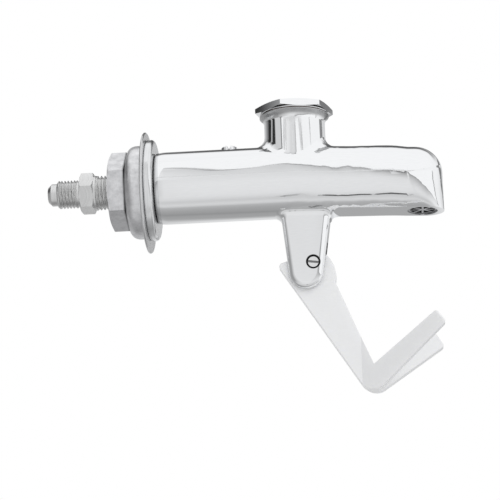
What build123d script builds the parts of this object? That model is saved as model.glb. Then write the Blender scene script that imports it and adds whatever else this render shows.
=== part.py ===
from build123d import *
import math
import os

# Push-back glass filler: a tap on a panel or wall that opens when a glass pushes its lever back.
# Millimetres. X runs forward from the panel's face to the spout, Y across, Z up.
# The origin is where the tube's axis meets the panel's face.

# Running and fitting clearances, all radial unless a name says otherwise
THREAD_GAP = 0.05
RUN_GAP = 0.05
SEAL_GAP = 0.03
CLOSING_GAP = 0.02

# How near a point has to lie to a surface to count as on it
ON_SURFACE = 0.02

# Tube of the body
TUBE_RADIUS = 14.25
TUBE_START = 3.4
TUBE_EDGE = 0.4
TUBE_EASE_LENGTH = 4.0
TUBE_EASE_DEPTH = 0.45

# Neck that holds the valve, on the vertical valve axis
VALVE_X = 58.2
NECK_RADIUS = 12.0
NECK_TOP = 26.6
NECK_FILLET = 4.2
NECK_RING_RADIUS = 13.7
NECK_RING_HEIGHT = 0.3
NECK_FLARE_HEIGHT = 3.1
NECK_BORE_RADIUS = 8.5
NECK_THREAD_RADIUS = 10.0
NECK_THREAD_DEPTH = 7.0

# Spout: the tube droops and tapers from the valve axis to a rounded nose. Each step of the bend
# is a share of the spout's length and the share of the droop that its section leans by.
DROOP_START = 60.0
DROOP_ANGLE = 3.05
BEND_START = 54.0
BEND_STEPS = ((0.0, 0.25), (0.16, 0.7), (0.42, 1.0), (1.0, 1.0))
SPOUT_LENGTH = 41.5
SPOUT_END_RADIUS = 13.75
NOSE_REACH = 13.7
BROW_RADIUS = 10.5
NOSE_SLICE_ANGLES = (-66, -50, -32, -14, 4, 22, 40, 56, 70, 80, 86)
NOSE_BUTT_GAP = 0.01

# Milled flat under the spout, cut by a round mill
FLAT_START = 70.6
FLAT_START_Z = -12.82
FLAT_SLOPE = 2.1
MILL_RADIUS = 8.5

# Outlet in the flat
OUTLET_REACH = 5.4
OUTLET_RADIUS = 5.0
OUTLET_SEAT_RADIUS = 5.85
OUTLET_SEAT_DEPTH = 2.6
OUTLET_DEPTH = 9.0

# Straightener in the outlet
SPOKE_COUNT = 8
SPOKE_WIDTH = 0.75
SPOKE_RIM = 0.95
SPOKE_HUB_RADIUS = 1.3
STRAIGHTENER_INSET = 0.5

# Clevis lug below the valve
LUG_THICKNESS = 10.9
LUG_TOP_HALF_LENGTH = 9.3
LUG_TOP_X = 61.4
LUG_TOP_Z = -17.0
LUG_END_X = 60.9
LUG_END_Z = -37.0
LUG_END_RADIUS = 6.7
LUG_EDGE = 2.5
LUG_ROOT_Z = -8.0
LUG_ROOT_FILLET = 3.2
SLOT_WIDTH = 5.0
SLOT_ROOF = 8.9

# Lever pivot, measured from the valve axis and the tube's axis
PIVOT_OFFSET = 5.6
PIVOT_Z = -33.6
PIVOT_RADIUS = 1.6
PIVOT_HEAD_RADIUS = 2.05
PIVOT_HEAD_HEIGHT = 1.2
PIVOT_SINK_RADIUS = 2.8
PIVOT_SINK_DEPTH = 1.6
PIVOT_SLOT_WIDTH = 0.9
PIVOT_SLOT_DEPTH = 0.45
PIVOT_SLOT_ANGLE = -8.0

# Lever: a plate in the slot, and two prongs that spread below the spout
LEVER_THICKNESS = 4.8
LEVER_EDGE = 0.45
SHOULDER_TILT = 15.0
SHOULDER_DISTANCE = 3.9
HUMP_GAP = 1.1
HUMP_WALL_RADIUS = 1.5
HEAD_RADIUS = 12.1
HEAD_CENTRE_BACK = 3.6
HEAD_CENTRE_DROP = 5.2
HEAD_FRONT_REACH = 8.4
HEAD_FRONT_DROP = 7.9
BACK_EDGE_X = -13.6
BACK_EDGE_Z = -0.9
BACK_EDGE_ANGLE = 57.3
FRONT_EDGE_ANGLE = 68.0
HEAD_CORNER_RADIUS = 1.6
ELBOW_RADIUS = 6.0
PRONG_REACH = 49.3
PRONG_TOP_DROP = 22.77
PRONG_TOP_ANGLE = 33.5
PRONG_LOW_DROP = 30.1
PRONG_LOW_ANGLE = 38.8
PRONG_TIP_BACK = 3.4
PRONG_CORNER = 1.1
FORK_HALF_SPREAD = 27.9
FORK_HALF_ANGLE = 38.3
FORK_ROOT_RADIUS = 2.0

# Valve: seat, washer, stem and spring
SEAT_FACE = -2.0
SEAT_HEIGHT = 4.0
SEAT_RADIUS = 7.6
SEAT_BORE = 3.9
SEAT_LIP_RADIUS = 4.9
SEAT_LIP_HEIGHT = 0.6
SEAT_SLOT_WIDTH = 2.2
SEAT_SLOT_DEPTH = 1.0
SEAT_GASKET_THICKNESS = 0.8
LOWER_CHAMBER_RADIUS = 5.5
LOWER_CHAMBER_DEPTH = 5.0
STEM_RADIUS = 2.0
STEM_FOOT_DOME = 3.0
STEM_FOOT_GAP = 0.1
WASHER_RADIUS = 6.0
WASHER_THICKNESS = 2.5
HOLDER_RADIUS = 6.8
HOLDER_THICKNESS = 2.0
HOLDER_SKIRT = 1.3
WASHER_NUT_RADIUS = 3.3
WASHER_NUT_HEIGHT = 2.0
WASHER_NUT_FLATS = 6.1
STEM_POST_RADIUS = 2.6
STEM_POST_TOP = 25.0
STEM_POST_CHAMFER = 0.5
BUSHING_RADIUS = 4.5
BUSHING_HEIGHT = 8.4
BUSHING_FLOOR = -20.0
RING_SECTION = 1.6
RING_GROOVE_WIDTH = 1.8
RING_GROOVE_WALL = 1.0
SPRING_RADIUS = 5.2
SPRING_WIRE = 1.1
SPRING_WIRE_SIDES = 8
SPRING_TURNS = 6.0

# Bonnet cap on the neck
CAP_GASKET_THICKNESS = 0.5
CAP_GASKET_INSET = 0.1
CAP_FACE_RADIUS = 13.3
CAP_FACE_THICKNESS = 0.3
CAP_HEX_ACROSS_FLATS = 27.0
CAP_HEX_HEIGHT = 2.8
CAP_HEX_TURN = 12.7
CAP_HEX_BEVEL = 0.5
CAP_SKIRT_LENGTH = 6.4
CAP_WELL_RADIUS = 7.0
CAP_ROOF = 2.2
CAP_GUIDE_LENGTH = 5.5
CAP_GUIDE_WALL = 1.2

# Inlet passage and flow screw
INLET_RADIUS = 3.5
INLET_Z = 2.6
FLOW_X = 32.1
FLOW_HEAD_RADIUS = 3.2
FLOW_HEAD_RISE = 1.15
FLOW_HEAD_TOP = TUBE_RADIUS + FLOW_HEAD_RISE
FLOW_HEAD_SINK = 0.6
FLOW_HEAD_EDGE = 0.6
FLOW_BORE_RADIUS = 3.4
FLOW_BORE_FLOOR = 8.0
FLOW_STEM_RADIUS = 2.4
FLOW_TIP_RADIUS = 1.6
FLOW_TIP_Z = 2.2
FLOW_SLOT_WIDTH = 1.0
FLOW_SLOT_DEPTH = 1.0
FLOW_RING_Z = 11.2

# Spout passage
PASSAGE_RADIUS = 2.8
PASSAGE_Z = -8.6
SPOUT_PASSAGE_START = 68.0
SPOUT_PASSAGE_RADIUS = 4.0
SPOUT_PASSAGE_Z = -7.2

# Shank through the panel, and what sits on it; its axis lies a little below the tube's
INLET_DROP = 0.5
SHANK_RADIUS = 11.1
SHANK_REAR = -14.2
SHANK_ENGAGEMENT = 12.0
SHANK_BORE = 4.5
SHANK_SOCKET_DEPTH = 15.0
SHANK_CHAMFER = 0.6
SHANK_GASKET_THICKNESS = 1.0
FLANGE_RADIUS = 20.0
FLANGE_THICKNESS = 3.2
FLANGE_HANG = 0.1
FLANGE_EDGE = 1.4
FLANGE_BACK_EDGE = 0.5
PANEL_WASHER_RADIUS = 23.9
PANEL_WASHER_THICKNESS = 1.0
PANEL_WASHER_HANG = 1.0
PANEL_WASHER_EDGE = 0.3
DOME_RADIUS = 18.45
DOME_FRONT = -1.2
DOME_HEIGHT = 6.95
DOME_RIM = 2.6
DOME_LAND = 1.5
DOME_HANG = 0.7
LOCKNUT_FRONT = -8.2
LOCKNUT_THICKNESS = 6.8
LOCKNUT_ACROSS_FLATS = 27.0
LOCKNUT_TURN = 42.3
LOCKNUT_BEVEL = 0.7
LOCKNUT_FRONT_BEVEL = 0.15

# Flare adapter, measured back from the shoulder of its pipe thread
PIPE_START = -20.7
PIPE_LENGTH = 15.0
PIPE_RADIUS = 6.86
PIPE_TAPER = 1.0 / 32.0
ADAPTER_RING_RADIUS = 6.9
ADAPTER_RING_LENGTH = 0.8
ADAPTER_HEX_LENGTH = 5.6
ADAPTER_ACROSS_FLATS = 14.3
ADAPTER_HEX_TURN = 52.9
ADAPTER_HEX_BEVEL = 0.5
RELIEF_RADIUS = 5.4
RELIEF_LENGTH = 1.3
FLARE_RADIUS = 5.56
FLARE_LENGTH = 7.8
FLARE_CHAMFER = 0.6
NOSE_RADIUS = 4.4
NOSE_LENGTH = 2.4
NOSE_CONE_LENGTH = 1.4
ADAPTER_BORE = 2.75

OUTLET_X = DROOP_START + SPOUT_LENGTH + OUTLET_REACH
PIVOT_X = VALVE_X + PIVOT_OFFSET
SHANK_FRONT = TUBE_START + SHANK_ENGAGEMENT
DROOP = math.radians(DROOP_ANGLE)


def droop_point(distance: float) -> tuple[float, float]:
    """Return X and Z of the spout's axis at a distance from where the droop starts."""
    return DROOP_START + distance * math.cos(DROOP), -distance * math.sin(DROOP)


def across_x(x: float, z: float = 0.0, tilt: float = 0.0) -> Plane:
    """Plane across the X axis at x, z, with its normal forward and tilted down by tilt degrees."""
    angle = math.radians(tilt)
    return Plane(origin=(x, 0, z), x_dir=(0, 1, 0), z_dir=(math.cos(angle), 0, -math.sin(angle)))


def rod_x(radius: float, start: float, end: float, z: float = 0.0) -> Part:
    """Round bar along X from start to end."""
    return extrude(across_x(start, z) * Circle(radius), end - start)


def rod_z(radius: float, low: float, high: float, x: float = VALVE_X) -> Part:
    """Upright round bar at x, from low to high."""
    return extrude(Plane(origin=(x, 0, low)) * Circle(radius), high - low)


def ring_z(outer: float, inner: float, low: float, high: float, x: float = VALVE_X) -> Part:
    """Upright ring at x, from low to high."""
    return rod_z(outer, low, high, x) - rod_z(inner, low, high, x)


def turned_x(points: list[tuple[float, float]]) -> Part:
    """Turn an outline of (x, radius) points about the X axis."""
    outline = Plane.XZ * make_face(Polyline(*points, close=True))
    return revolve(outline, axis=Axis.X)


def hex_bar(plane: Plane, across_flats: float, height: float, turn: float, bevel: float,
            top_bevel: float) -> Part:
    """Hex bar on a plane, with its corners turned down at its foot and its top."""
    corner = across_flats / math.sqrt(3)
    flats = across_flats / 2
    blank = extrude(plane * RegularPolygon(corner, 6, rotation=turn), height)
    half = Polyline(
        (0, 0), (flats, 0), (corner, bevel), (corner, height - top_bevel), (flats, height),
        (0, height), close=True,
    )
    envelope = plane * revolve(Plane.XZ * make_face(half), axis=Axis.Z)
    return blank & envelope


def side_plate(outline: Face | Sketch, thickness: float) -> Part:
    """Extrude an outline drawn on the X-Z plane to both sides of the middle plane."""
    return extrude(outline, thickness / 2, both=True)


# Body


def nose_section(angle: float) -> Sketch:
    """Level slice of the nose at an angle round the tube: two straight sides and a round end.

    The slice is as wide as the tube there. Its end follows the nose's side view: an upright
    front that leans by the droop, under a round brow.
    """
    radius = SPOUT_END_RADIUS - NOSE_BUTT_GAP
    height = radius * math.sin(math.radians(angle))
    half_width = radius * math.cos(math.radians(angle))
    brow = radius - BROW_RADIUS
    if height < brow:
        tip = NOSE_REACH - math.tan(DROOP) * (height - brow)
    else:
        tip = NOSE_REACH - BROW_RADIUS + math.sqrt(BROW_RADIUS**2 - (height - brow) ** 2)
    centre = tip - half_width
    outline = [
        Line((0, -half_width), (centre, -half_width)),
        ThreePointArc((centre, -half_width), (tip, 0), (centre, half_width)),
        Line((centre, half_width), (0, half_width)),
        Line((0, half_width), (0, -half_width)),
    ]
    return Pos(0, 0, height) * make_face(outline)


def nose() -> Part:
    """Rounded end of the spout, a stack of level slices in the drooping frame."""
    end_x, end_z = droop_point(SPOUT_LENGTH)
    place = Plane(origin=(end_x, 0, end_z), x_dir=(math.cos(DROOP), 0, -math.sin(DROOP)),
                  z_dir=(math.sin(DROOP), 0, math.cos(DROOP)))
    return place * loft([nose_section(angle) for angle in NOSE_SLICE_ANGLES])


def spout_tube() -> Part:
    """Tube from the neck to the nose, drooping and tapering."""
    sections = [across_x(BEND_START) * Circle(TUBE_RADIUS)]
    for share, tilt_share in BEND_STEPS:
        x, z = droop_point(SPOUT_LENGTH * share)
        radius = TUBE_RADIUS + (SPOUT_END_RADIUS - TUBE_RADIUS) * share
        sections.append(across_x(x, z, DROOP_ANGLE * tilt_share) * Circle(radius))
    return loft(sections)


def flat_cutter() -> Part:
    """Everything that the mill takes off the spout's underside, with the mill's round start."""
    slope = math.tan(math.radians(FLAT_SLOPE))
    far = DROOP_START + SPOUT_LENGTH + 2 * NOSE_REACH
    floor = FLAT_START_Z - TUBE_RADIUS
    wedge = Polyline(
        (FLAT_START, FLAT_START_Z), (far, FLAT_START_Z - (far - FLAT_START) * slope),
        (far, floor), (FLAT_START, floor), close=True,
    )
    start = FLAT_START + MILL_RADIUS
    length = far - start
    straight = Pos(start + length / 2, 0) * Rectangle(length, 2 * MILL_RADIUS)
    plan = straight + Pos(start, 0) * Circle(MILL_RADIUS)
    track = extrude(Pos(0, 0, floor) * plan, -floor)
    return side_plate(Plane.XZ * make_face(wedge), 2 * TUBE_RADIUS) & track


def lug() -> Part:
    """Clevis lug: a tapering plate with a round end and rounded edges, open to its root."""
    top_back = LUG_TOP_X - LUG_TOP_HALF_LENGTH
    top_front = LUG_TOP_X + LUG_TOP_HALF_LENGTH
    back = tangent_point((top_back, LUG_TOP_Z), -1)
    front = tangent_point((top_front, LUG_TOP_Z), 1)
    outline = [
        Line((top_back, LUG_ROOT_Z), (top_back, LUG_TOP_Z)),
        Line((top_back, LUG_TOP_Z), back),
        ThreePointArc(back, (LUG_END_X, LUG_END_Z - LUG_END_RADIUS), front),
        Line(front, (top_front, LUG_TOP_Z)),
        Line((top_front, LUG_TOP_Z), (top_front, LUG_ROOT_Z)),
        Line((top_front, LUG_ROOT_Z), (top_back, LUG_ROOT_Z)),
    ]
    plate = side_plate(Plane.XZ * make_face(outline), LUG_THICKNESS)
    faces_y = LUG_THICKNESS / 2 - ON_SURFACE
    rim = [edge for edge in plate.edges()
           if abs(edge.center().Y) > faces_y and edge.center().Z < LUG_ROOT_Z - 1]
    return fillet(rim, LUG_EDGE)


def tangent_point(start: tuple[float, float], side: int) -> tuple[float, float]:
    """Point where a line from start touches the lug's round end, on the back (-1) or front (1)."""
    dx, dz = start[0] - LUG_END_X, start[1] - LUG_END_Z
    reach = math.hypot(dx, dz)
    angle = math.atan2(dz, dx) - side * math.acos(LUG_END_RADIUS / reach)
    return LUG_END_X + LUG_END_RADIUS * math.cos(angle), LUG_END_Z + LUG_END_RADIUS * math.sin(angle)


def meeting_edges(shape: Part, keep) -> list[Edge]:
    """Edges of a shape for which keep is true at five places along them."""
    shares = (0.1, 0.3, 0.5, 0.7, 0.9)
    return [edge for edge in shape.edges() if all(keep(edge @ share) for share in shares)]


def on_neck_root(point: Vector) -> bool:
    """True where the neck's wall meets the tube."""
    on_wall = abs(math.hypot(point.X - VALVE_X, point.Y) - NECK_RADIUS) < ON_SURFACE
    return on_wall and 0 < point.Z < TUBE_RADIUS + 1


def on_lug_root(point: Vector) -> bool:
    """True where the lug meets the tube's underside."""
    beside = abs(point.Y) < LUG_THICKNESS / 2 + ON_SURFACE
    along = abs(point.X - LUG_TOP_X) < LUG_TOP_HALF_LENGTH + ON_SURFACE
    return beside and along and -TUBE_RADIUS - 1 < point.Z < LUG_ROOT_Z - 1


def back_tube() -> Part:
    """Tube from the flange to the bend, eased over its last few millimetres by the polishing."""
    eased = (TUBE_START, TUBE_RADIUS - TUBE_EASE_DEPTH)
    full = (TUBE_START + TUBE_EASE_LENGTH, TUBE_RADIUS)
    outline = [
        Line((TUBE_START, 0), eased),
        TangentArc(full, eased, tangent=(-1, 0)),
        Line(full, (BEND_START, TUBE_RADIUS)),
        Line((BEND_START, TUBE_RADIUS), (BEND_START, 0)),
        Line((BEND_START, 0), (TUBE_START, 0)),
    ]
    tube = revolve(Plane.XZ * make_face(outline), axis=Axis.X)
    return fillet(tube.edges().group_by(Axis.X)[0], TUBE_EDGE)


def neck() -> Part:
    """Neck round the valve: an upright wall that flares out to the ring under the cap."""
    ring_low = NECK_TOP - NECK_RING_HEIGHT
    flare_low = (NECK_RADIUS, ring_low - NECK_FLARE_HEIGHT)
    flare_high = (NECK_RING_RADIUS, ring_low)
    outline = [
        Line((0, 0), (NECK_RADIUS, 0)),
        Line((NECK_RADIUS, 0), flare_low),
        TangentArc(flare_low, flare_high, tangent=(0, 1)),
        Line(flare_high, (NECK_RING_RADIUS, NECK_TOP)),
        Line((NECK_RING_RADIUS, NECK_TOP), (0, NECK_TOP)),
        Line((0, NECK_TOP), (0, 0)),
    ]
    return Pos(VALVE_X, 0, 0) * revolve(Plane.XZ * make_face(outline), axis=Axis.Z)


def body_shell() -> Part:
    """Outside of the casting, still solid."""
    shell = back_tube() + spout_tube() + nose() + neck()
    shell = fillet(meeting_edges(shell, on_neck_root), NECK_FILLET)
    shell += lug()
    shell = fillet(meeting_edges(shell, on_lug_root), LUG_ROOT_FILLET)
    return shell - flat_cutter()


def body_passages() -> list[Part]:
    """Every bore in the body, from the panel side to the outlet."""
    seat_floor = SEAT_FACE - SEAT_HEIGHT - SEAT_GASKET_THICKNESS
    lower_floor = seat_floor - LOWER_CHAMBER_DEPTH
    slot_roof = PIVOT_Z + SLOT_ROOF
    outlet_z = flat_height(OUTLET_X)
    return [
        rod_x(SHANK_RADIUS + THREAD_GAP, TUBE_START - 1, SHANK_FRONT + SHANK_GASKET_THICKNESS, -INLET_DROP),
        rod_x(INLET_RADIUS, TUBE_START, VALVE_X, INLET_Z),
        rod_z(NECK_THREAD_RADIUS, NECK_TOP - NECK_THREAD_DEPTH, NECK_TOP + 1),
        rod_z(NECK_BORE_RADIUS, SEAT_FACE, NECK_TOP),
        rod_z(SEAT_RADIUS + THREAD_GAP, seat_floor, NECK_TOP),
        rod_z(LOWER_CHAMBER_RADIUS, lower_floor, NECK_TOP),
        rod_z(BUSHING_RADIUS, BUSHING_FLOOR, NECK_TOP),
        rod_z(STEM_RADIUS + 2 * RUN_GAP, slot_roof - 1, BUSHING_FLOOR + 1),
        rod_z(FLOW_BORE_RADIUS, FLOW_BORE_FLOOR, TUBE_RADIUS + 1, FLOW_X),
        rod_z(FLOW_STEM_RADIUS + THREAD_GAP, INLET_Z, FLOW_BORE_FLOOR + 1, FLOW_X),
        rod_x(PASSAGE_RADIUS, VALVE_X, SPOUT_PASSAGE_START + 1, PASSAGE_Z),
        rod_x(SPOUT_PASSAGE_RADIUS, SPOUT_PASSAGE_START, OUTLET_X, SPOUT_PASSAGE_Z),
        rod_z(OUTLET_RADIUS, outlet_z - 1, outlet_z + OUTLET_DEPTH, OUTLET_X),
        rod_z(OUTLET_SEAT_RADIUS, outlet_z - 2, outlet_z + OUTLET_SEAT_DEPTH, OUTLET_X),
    ]


def flat_height(x: float) -> float:
    """Height of the spout's milled underside at x."""
    return FLAT_START_Z - (x - FLAT_START) * math.tan(math.radians(FLAT_SLOPE))


def clevis_cuts() -> list[Part]:
    """The lever's slot, the pin's holes and the sink for the pin's head."""
    low = LUG_END_Z - LUG_END_RADIUS - 1
    roof = PIVOT_Z + SLOT_ROOF
    reach = LUG_TOP_HALF_LENGTH + 3
    slot = Pos(LUG_TOP_X, 0, (low + roof) / 2) * Box(2 * reach, SLOT_WIDTH, roof - low)
    half = LUG_THICKNESS / 2
    hole = cross_pin(PIVOT_RADIUS + CLOSING_GAP, -half - 1, half + 1)
    sink = cross_pin(PIVOT_SINK_RADIUS, -half - 1, -half + PIVOT_SINK_DEPTH)
    return [slot, hole, sink]


def cross_pin(radius: float, start: float, end: float) -> Part:
    """Round bar along Y on the lever's pivot."""
    plane = Plane(origin=(PIVOT_X, start, PIVOT_Z), x_dir=(1, 0, 0), z_dir=(0, 1, 0))
    return extrude(plane * Circle(radius), end - start)


def body() -> Part:
    """Brass casting: tube, neck, clevis lug and spout, with all its bores."""
    return body_shell() - body_passages() - clevis_cuts()


# Lever and its pin


def from_pivot(x: float, z: float) -> tuple[float, float]:
    """Turn a place given from the pivot into X and Z."""
    return PIVOT_X + x, PIVOT_Z + z


def meet(p: tuple[float, float], p_angle: float,
         q: tuple[float, float], q_angle: float) -> tuple[float, float]:
    """Point where two lines cross, each given by a point and an angle in degrees."""
    a, b = math.radians(p_angle), math.radians(q_angle)
    cross = math.sin(b - a)
    along = ((q[0] - p[0]) * math.sin(b) - (q[1] - p[1]) * math.cos(b)) / cross
    return p[0] + along * math.cos(a), p[1] + along * math.sin(a)


def lever_outline() -> Face:
    """Side view of the lever: head with the shoulder that lifts the stem, arm, and fork."""
    tilt = math.radians(SHOULDER_TILT)
    shoulder = from_pivot(-SHOULDER_DISTANCE * math.sin(tilt), SHOULDER_DISTANCE * math.cos(tilt))
    back_edge = from_pivot(BACK_EDGE_X, BACK_EDGE_Z)
    front_edge = from_pivot(HEAD_FRONT_REACH, -HEAD_FRONT_DROP)
    upper_edge = from_pivot(PRONG_REACH, -PRONG_TOP_DROP)
    lower_edge = from_pivot(PRONG_REACH, -PRONG_LOW_DROP)
    head = from_pivot(-HEAD_CENTRE_BACK, -HEAD_CENTRE_DROP)
    hump_x = VALVE_X - PIVOT_X + STEM_RADIUS + HUMP_GAP
    wall_x = from_pivot(hump_x, 0)[0]
    corner = meet(shoulder, SHOULDER_TILT, back_edge, -BACK_EDGE_ANGLE)
    wall_foot = meet(shoulder, SHOULDER_TILT, (wall_x, 0), 90)
    wall_top = (wall_x, head[1] + math.sqrt(HEAD_RADIUS**2 - (wall_x - head[0]) ** 2))
    front_z = front_edge[1]
    front_x = head[0] + math.sqrt(HEAD_RADIUS**2 - (front_z - head[1]) ** 2)
    elbow = meet((front_x, front_z), -FRONT_EDGE_ANGLE, upper_edge, PRONG_TOP_ANGLE)
    tip_square = PRONG_TOP_ANGLE - 90
    tip_top = meet(upper_edge, PRONG_TOP_ANGLE, (upper_edge[0] - PRONG_TIP_BACK, 0), 90)
    tip_low = meet(lower_edge, PRONG_LOW_ANGLE, tip_top, tip_square)
    heel = meet(back_edge, -BACK_EDGE_ANGLE, lower_edge, PRONG_LOW_ANGLE)
    brow = 45.0
    arc_middle = (head[0] + HEAD_RADIUS * math.cos(math.radians(brow)),
                  head[1] + HEAD_RADIUS * math.sin(math.radians(brow)))
    outline = Wire([
        Line(corner, wall_foot),
        Line(wall_foot, wall_top),
        ThreePointArc(wall_top, arc_middle, (front_x, front_z)),
        Line((front_x, front_z), elbow),
        Line(elbow, tip_top),
        Line(tip_top, tip_low),
        Line(tip_low, heel),
        Line(heel, corner),
    ])
    return round_corners(Face(outline), {
        corner: HEAD_CORNER_RADIUS, wall_foot: HUMP_WALL_RADIUS, wall_top: HUMP_WALL_RADIUS,
        heel: ELBOW_RADIUS, tip_top: PRONG_CORNER, tip_low: PRONG_CORNER,
    })


def round_corners(face: Face, radii: dict[tuple[float, float], float]) -> Face:
    """Round the corners of a flat outline, each by its own radius."""
    for place, radius in radii.items():
        vertex = face.vertices().sort_by_distance(Vector(place[0], place[1], 0))[0]
        face = face.fillet_2d(radius, [vertex])
    return face


def fork_plan() -> Part:
    """Two upright walls that spread from the arm in plan, joined at their root."""
    slope = math.tan(math.radians(FORK_HALF_ANGLE))
    wall = LEVER_THICKNESS / math.cos(math.radians(FORK_HALF_ANGLE))
    tip_x = PIVOT_X + PRONG_REACH
    end_x = tip_x + 2
    outer_end = FORK_HALF_SPREAD + 2 * slope
    half = LEVER_THICKNESS / 2
    root_x = tip_x - (FORK_HALF_SPREAD - half) / slope
    inner_x = tip_x - (FORK_HALF_SPREAD - wall) / slope
    outline = Face(Wire(Polyline(
        (root_x, -half), (end_x, -outer_end), (end_x, -outer_end + wall), (inner_x, 0),
        (end_x, outer_end - wall), (end_x, outer_end), (root_x, half), close=True,
    ).edges()))
    outline = round_corners(outline, {(inner_x, 0): FORK_ROOT_RADIUS})
    low = PIVOT_Z - PRONG_LOW_DROP * 2
    return extrude(Pos(0, 0, low) * outline, PIVOT_Z - low)


def lever() -> Part:
    """Moulded lever: the side view as a plate up to the fork's root, then as two prongs."""
    outline = Plane.XZ * lever_outline()
    slope = math.tan(math.radians(FORK_HALF_ANGLE))
    root_x = PIVOT_X + PRONG_REACH - (FORK_HALF_SPREAD - LEVER_THICKNESS / 2) / slope
    arm_end = root_x + LEVER_THICKNESS / slope / 2
    reach = 2 * PRONG_REACH
    arm_box = Pos(arm_end - reach, 0, PIVOT_Z) * Box(2 * reach, LEVER_THICKNESS, 2 * reach)
    plate = side_plate(outline, LEVER_THICKNESS)
    rim = [edge for edge in plate.edges() if abs(edge.center().Y) > LEVER_THICKNESS / 2 - ON_SURFACE]
    arm = fillet(rim, LEVER_EDGE) & arm_box
    fork = side_plate(outline, 3 * FORK_HALF_SPREAD) & fork_plan()
    prong_edges = [edge for edge in fork.edges() if abs(edge.center().Y) > 2 * LEVER_THICKNESS]
    fork = fillet(prong_edges, LEVER_EDGE)
    hole = cross_pin(PIVOT_RADIUS + RUN_GAP, -LEVER_THICKNESS, LEVER_THICKNESS)
    return arm + fork - hole


def pivot_screw() -> Part:
    """Slotted screw that is the lever's pin: its head sits in the sink of the near cheek."""
    half = LUG_THICKNESS / 2
    floor = -half + PIVOT_SINK_DEPTH
    shank_part = cross_pin(PIVOT_RADIUS, floor, half)
    head = cross_pin(PIVOT_HEAD_RADIUS, floor - PIVOT_HEAD_HEIGHT, floor)
    slot = Pos(PIVOT_X, floor - PIVOT_HEAD_HEIGHT, PIVOT_Z) * Rot(0, -PIVOT_SLOT_ANGLE, 0) * Box(
        3 * PIVOT_HEAD_RADIUS, 2 * PIVOT_SLOT_DEPTH, PIVOT_SLOT_WIDTH)
    return shank_part + head - slot


# Valve


def stem_foot_height() -> float:
    """Lowest point of the stem with the lever at rest: its dome just clears the shoulder."""
    tilt = math.radians(SHOULDER_TILT)
    touch = SHOULDER_DISTANCE / math.cos(tilt) - PIVOT_OFFSET * math.tan(tilt)
    dome = STEM_FOOT_DOME * (1 / math.cos(tilt) - 1)
    return PIVOT_Z + touch + dome + STEM_FOOT_GAP


def valve_stem() -> Part:
    """Stem with the washer's holder, a guide post above it and a domed foot below."""
    foot = stem_foot_height()
    washer_low = SEAT_FACE + CLOSING_GAP
    washer_top = washer_low + WASHER_THICKNESS
    holder_top = washer_top + HOLDER_THICKNESS
    stem = rod_z(STEM_RADIUS, foot, holder_top)
    dome_drop = STEM_FOOT_DOME - math.sqrt(STEM_FOOT_DOME**2 - STEM_RADIUS**2)
    dome = Pos(VALVE_X, 0, foot + STEM_FOOT_DOME) * Sphere(STEM_FOOT_DOME)
    blunt = rod_z(STEM_RADIUS, foot, foot + dome_drop)
    stem = stem - (blunt - dome)
    holder = ring_z(HOLDER_RADIUS, WASHER_RADIUS + SEAL_GAP, washer_top - HOLDER_SKIRT, washer_top)
    plate = rod_z(HOLDER_RADIUS, washer_top, holder_top)
    post = rod_z(STEM_POST_RADIUS, holder_top, STEM_POST_TOP)
    post = chamfer(post.edges().group_by(Axis.Z)[-1], STEM_POST_CHAMFER)
    return stem + holder + plate + post


def seat_washer() -> Part:
    """Rubber washer in the holder, just clear of the seat's lip."""
    low = SEAT_FACE + CLOSING_GAP
    return ring_z(WASHER_RADIUS, STEM_RADIUS + SEAL_GAP, low, low + WASHER_THICKNESS)


def washer_nut() -> Part:
    """Round nut that holds the washer on the stem and passes through the seat."""
    top = SEAT_FACE + CLOSING_GAP
    blank = rod_z(WASHER_NUT_RADIUS, top - WASHER_NUT_HEIGHT, top)
    flats = Pos(VALVE_X, 0, top - WASHER_NUT_HEIGHT / 2) * Box(
        WASHER_NUT_FLATS, 3 * WASHER_NUT_RADIUS, WASHER_NUT_HEIGHT)
    return blank & flats - rod_z(STEM_RADIUS + CLOSING_GAP, top - WASHER_NUT_HEIGHT, top)


def valve_seat() -> Part:
    """Screwed seat with a raised lip and two driver slots."""
    low = SEAT_FACE - SEAT_HEIGHT
    ledge = SEAT_FACE - SEAT_LIP_HEIGHT
    blank = rod_z(SEAT_RADIUS, low, ledge) + rod_z(SEAT_LIP_RADIUS, ledge, SEAT_FACE)
    slot = Pos(VALVE_X, 0, ledge) * Box(SEAT_SLOT_WIDTH, 3 * SEAT_RADIUS, 2 * SEAT_SLOT_DEPTH)
    keep = rod_z(SEAT_LIP_RADIUS, low, SEAT_FACE)
    return blank - (slot - keep) - rod_z(SEAT_BORE, low, SEAT_FACE)


def seat_gasket() -> Part:
    """Ring under the seat."""
    top = SEAT_FACE - SEAT_HEIGHT
    return ring_z(SEAT_RADIUS - SEAL_GAP, LOWER_CHAMBER_RADIUS, top - SEAT_GASKET_THICKNESS, top)


def ring_height(place: int) -> float:
    """Middle height of a stem ring: 0 is the lower one and 1 the upper one."""
    step = BUSHING_HEIGHT - 2 * RING_GROOVE_WALL - RING_GROOVE_WIDTH
    return BUSHING_FLOOR + RING_GROOVE_WALL + RING_GROOVE_WIDTH / 2 + place * step


def stem_bushing() -> Part:
    """Guide bushing for the stem, with a groove inside for each O-ring."""
    bore = STEM_RADIUS + RUN_GAP
    groove = STEM_RADIUS + SEAL_GAP + RING_SECTION + SEAL_GAP
    high = BUSHING_FLOOR + BUSHING_HEIGHT
    bushing = ring_z(BUSHING_RADIUS - CLOSING_GAP, bore, BUSHING_FLOOR, high)
    for place in range(2):
        middle = ring_height(place)
        half = RING_GROOVE_WIDTH / 2
        bushing -= rod_z(groove, middle - half, middle + half)
    return bushing


def o_ring(inner: float, section: float, x: float, z: float) -> Part:
    """O-ring that lies level round an upright axis."""
    return Pos(x, 0, z) * Torus(inner + section / 2, section / 2)


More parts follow.
